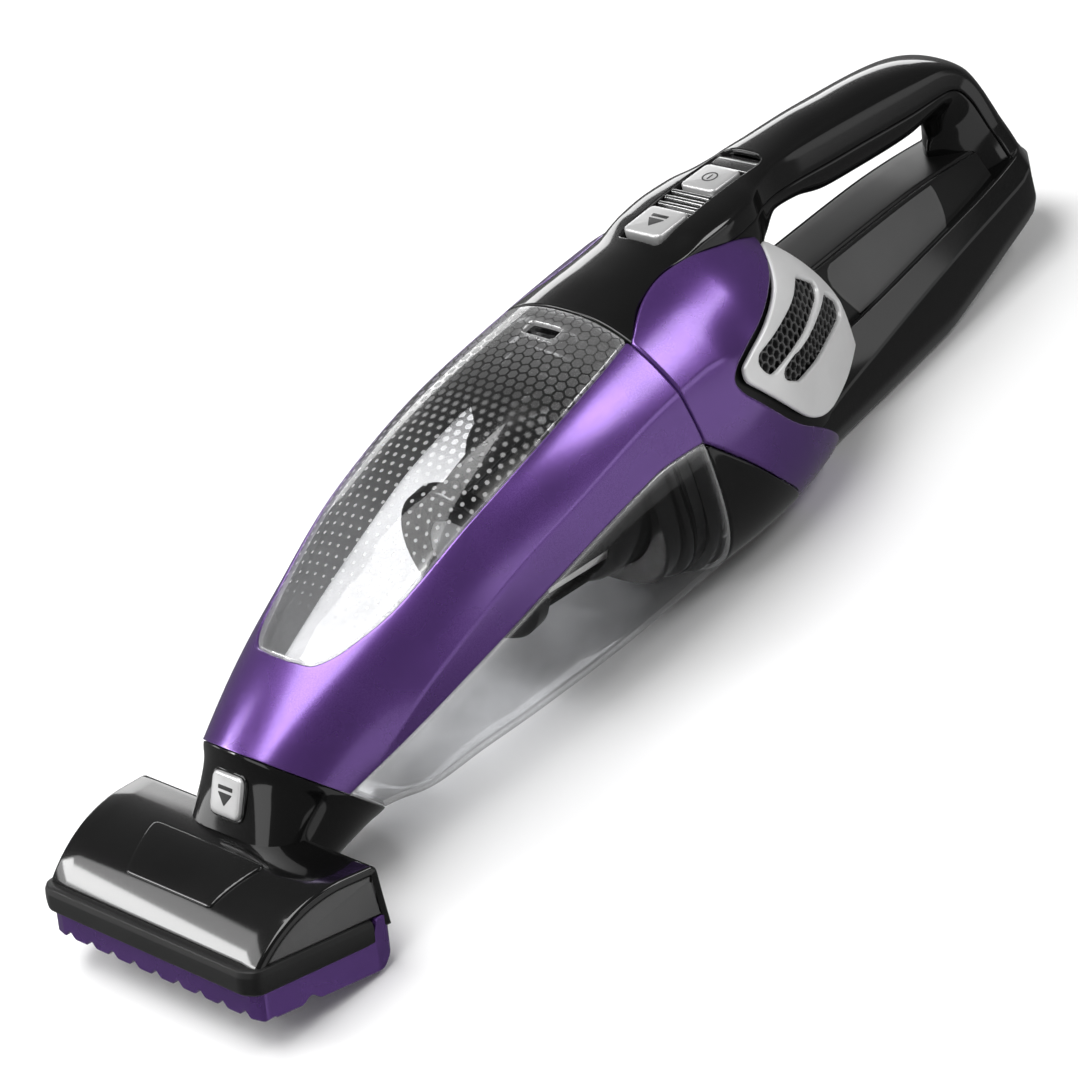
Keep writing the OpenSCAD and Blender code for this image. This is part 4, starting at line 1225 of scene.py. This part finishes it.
mouth = placed(np.column_stack([SPIGOT_R * np.cos(t), SPIGOT_R * np.sin(t), np.zeros(n)]),
               frame_at(NECK + NECK_OUT * 0.1, -NECK_OUT, NECK_UP))
order = [np.argmin(np.linalg.norm(mouth - p, axis=1)) for p in rings[0]]
deep = mouth + NECK_OUT * SPIGOT_LENGTH
for i in range(n):
    j = (i + 1) % n
    faces.append([j, i, base + i, base + j])
    faces.append([base + j, base + i, base + n + i, base + n + j])
piece("collar", np.vstack(rings + [mouth[order], deep[order]]), faces, M["gloss"], "brush_head",
      ["neck_collar"])

neck_at = frame_at((-186.4, 0, 50.6), (-0.8434, 0, 0.5373), (0.5373, 0, 0.8434))
co, faces = outline_slab(rectangle(16.6, 16.8, 3.8), -5, 0.25, 0.5)
piece("neck_bezel", placed(co, neck_at), faces, M["gloss"], "brush_head")
key("neck_key", neck_at, rectangle(14.8, 15.0, 3.2), -3, 1.5, 1.1, "head_key", "neck_release_button")
mark("neck_mark", neck_at, eject_mark(7.0, 1.62), "head_key")

# ---------------------------------------------------------------- filter

FAN_AXIS = (0, FAN_Z)
cup = turned([
    (9.2, 37), (-8, 37), (-22, 36), (-27, 34.5), (-28.5, 33.2), (-28.5, 31.0), (-8, 33.6), (9.2, 33.6),
], FAN_AXIS, 72)
front = turned([
    (-65.6, 30.2), (-66, 29.4), (-66, 20.2), (-65.4, 19.2), (-60, 19), (-58, 23), (-57, 28.2), (-59.2, 31),
    (-64.6, 31),
], FAN_AXIS, 72)
struts = []
for k in range(4):
    turn = math.radians(90 * k)
    strut = fillet([(-62, -6.5, 2), (-62, 6.5, 2), (-24, 9.5, 2), (-24, -9.5, 2)])
    co, faces = outline_slab(strut, -0.9, 0.9, 0.5)
    radius = 28.6 + (co[:, 0] + 62) / 38 * 6.0
    across, up = co[:, 1], radius + co[:, 2] - np.abs(co[:, 1]) ** 2 / 60
    y = across * math.cos(turn) - up * math.sin(turn)
    z = across * math.sin(turn) + up * math.cos(turn) + FAN_Z
    struts.append((np.column_stack([co[:, 0], y, z]), faces))
co, faces = joined(cup, front, *struts)
piece("filter_basket", co, faces, M["gloss"], "filter", ["filter_cage"])

# Pleated cloth: an outer and an inner wall, joined at both ends
ROUND, PLEATS = 240, 40
a = np.linspace(0, 2 * math.pi, ROUND, endpoint=False)
outer, inner = [], []
for x in np.linspace(-59, -20, 24):
    radius = 23.2 + (x + 59) * 0.175 + 0.25 * np.cos(a * PLEATS)
    for wall, r in ((outer, radius), (inner, radius * 0.92)):
        wall.append(np.column_stack([np.full(ROUND, x), r * np.cos(a), FAN_Z + r * np.sin(a)]))
skin = grid_skin(np.array(outer), closed=True)
count = len(skin.data)
faces = skin.faces + [[i + count for i in f[::-1]] for f in skin.faces]
last = count - ROUND
for i in range(ROUND):
    j = (i + 1) % ROUND
    faces.append([i, j, j + count, i + count])
    faces.append([last + j, last + i, last + i + count, last + j + count])
piece("filter_felt", np.vstack([skin.co, np.vstack(inner)]), faces, M["felt"], "filter",
      ["filter_fabric"])
co, faces = turned([
    (-64.5, 0.05), (-63.2, 2.5), (-62.6, 5.0), (-64.2, 7.2), (-64.8, 9), (-64.2, 17.4), (-63.4, 18.6),
    (-61, 18.8), (-61, 0.05),
], FAN_AXIS)
piece("filter_button", co, faces, M["pale"], "filter", ["filter_disc"])

# Stepped rings round the filter, just inside the rear opening of the bin: x and the inset from the body.
# The rings with the largest inset are round and meet the filter's cup.
STEPS = (
    (8.7, 16.0), (8.7, 3.4), (8.2, 2.9), (3.0, 2.9), (2.4, 3.6), (2.2, 6.0), (-4.6, 6.2), (-5.2, 6.8),
    (-5.4, 8.4), (-12.6, 8.6), (-13.2, 9.3), (-13.2, 16.0),
)
RING_POINTS, OPENING_R = 180, 37.8
rings = []
for x, inset in STEPS:
    ring = hull_grid([x], RING_POINTS + 1, (0, 1), grow=-min(inset, 9.3))[0][:-1]
    if inset > 15:
        away = ring[:, 1:] - FAN_AXIS
        away *= OPENING_R / np.linalg.norm(away, axis=1)[:, None]
        ring = np.column_stack([np.full(RING_POINTS, x), FAN_AXIS + away])
    rings.append(ring)
faces = ring_faces(len(rings), RING_POINTS, loop=True, flip=True)
piece("filter_surround", np.vstack(rings), faces, M["gloss"], "motor_unit")

# ---------------------------------------------------------------- stage and lights

floor_mesh = bpy.data.meshes.new("floor")
corners = [(x, y, -0.0008) for x, y in ((-6, -6), (6, -6), (6, 6), (-6, 6))]
floor_mesh.from_pydata(corners, [], [(0, 1, 2, 3)])
floor = bpy.data.objects.new("floor", floor_mesh)
bpy.context.scene.collection.objects.link(floor)
ground = Nodes("pale_floor")
paint = ground.principled({
    "Base Color": ground.blend(ground.noise(3.0), grey(0.95), grey(0.93)),
    "Roughness": 0.9,
    "Specular IOR Level": 0.1,
})
floor_mesh.materials.append(ground.finish(paint))
floor.visible_glossy = False


def softbox(name, place, aim, size, power):
    """A soft rectangular light that faces a point."""
    data = bpy.data.lights.new(name, "AREA")
    data.shape = "RECTANGLE"
    data.size, data.size_y = size
    data.energy = power
    lamp = bpy.data.objects.new(name, data)
    bpy.context.scene.collection.objects.link(lamp)
    lamp.location = place
    lamp.rotation_euler = (Vector(aim) - Vector(place)).to_track_quat("-Z", "Y").to_euler()


softbox("light_top", (-0.25, 0.15, 1.5), (-0.05, 0, 0), (1.5, 0.8), 23)
softbox("light_back", (1.15, 1.4, 0.36), (0, 0, 0.05), (1.9, 0.4), 9)
softbox("light_band", (-0.85, 1.05, 1.0), (-0.2, 0, 0.04), (0.9, 0.5), 5)
softbox("light_core", (-0.76, 0.93, 0.84), (-0.2, 0, 0.04), (0.7, 0.16), 4)
softbox("light_low", (-1.0, 1.25, 0.2), (-0.2, 0, 0.04), (1.2, 0.3), 3)
softbox("light_left", (-1.7, 0.1, 0.8), (0, 0, 0.05), (0.9, 0.9), 4)
softbox("light_front", (0.6, -1.7, 0.35), (0, 0, 0.05), (1.2, 0.5), 2.5)
softbox("light_near", (0.68, -0.76, 1.0), (0.03, -0.04, 0.08), (0.5, 0.45), 4.5)
# Below the floor, so that only reflections see it
softbox("light_fill", (0.3, -1.5, -0.45), (0, 0, 0.03), (2.2, 0.8), 3.5)

world = bpy.data.worlds.new("studio")
bpy.context.scene.world = world
world.use_nodes = True
background = world.node_tree.nodes["Background"]
background.inputs["Color"].default_value = grey(1)
background.inputs["Strength"].default_value = 0.14
bpy.context.scene.view_settings.view_transform = "Standard"
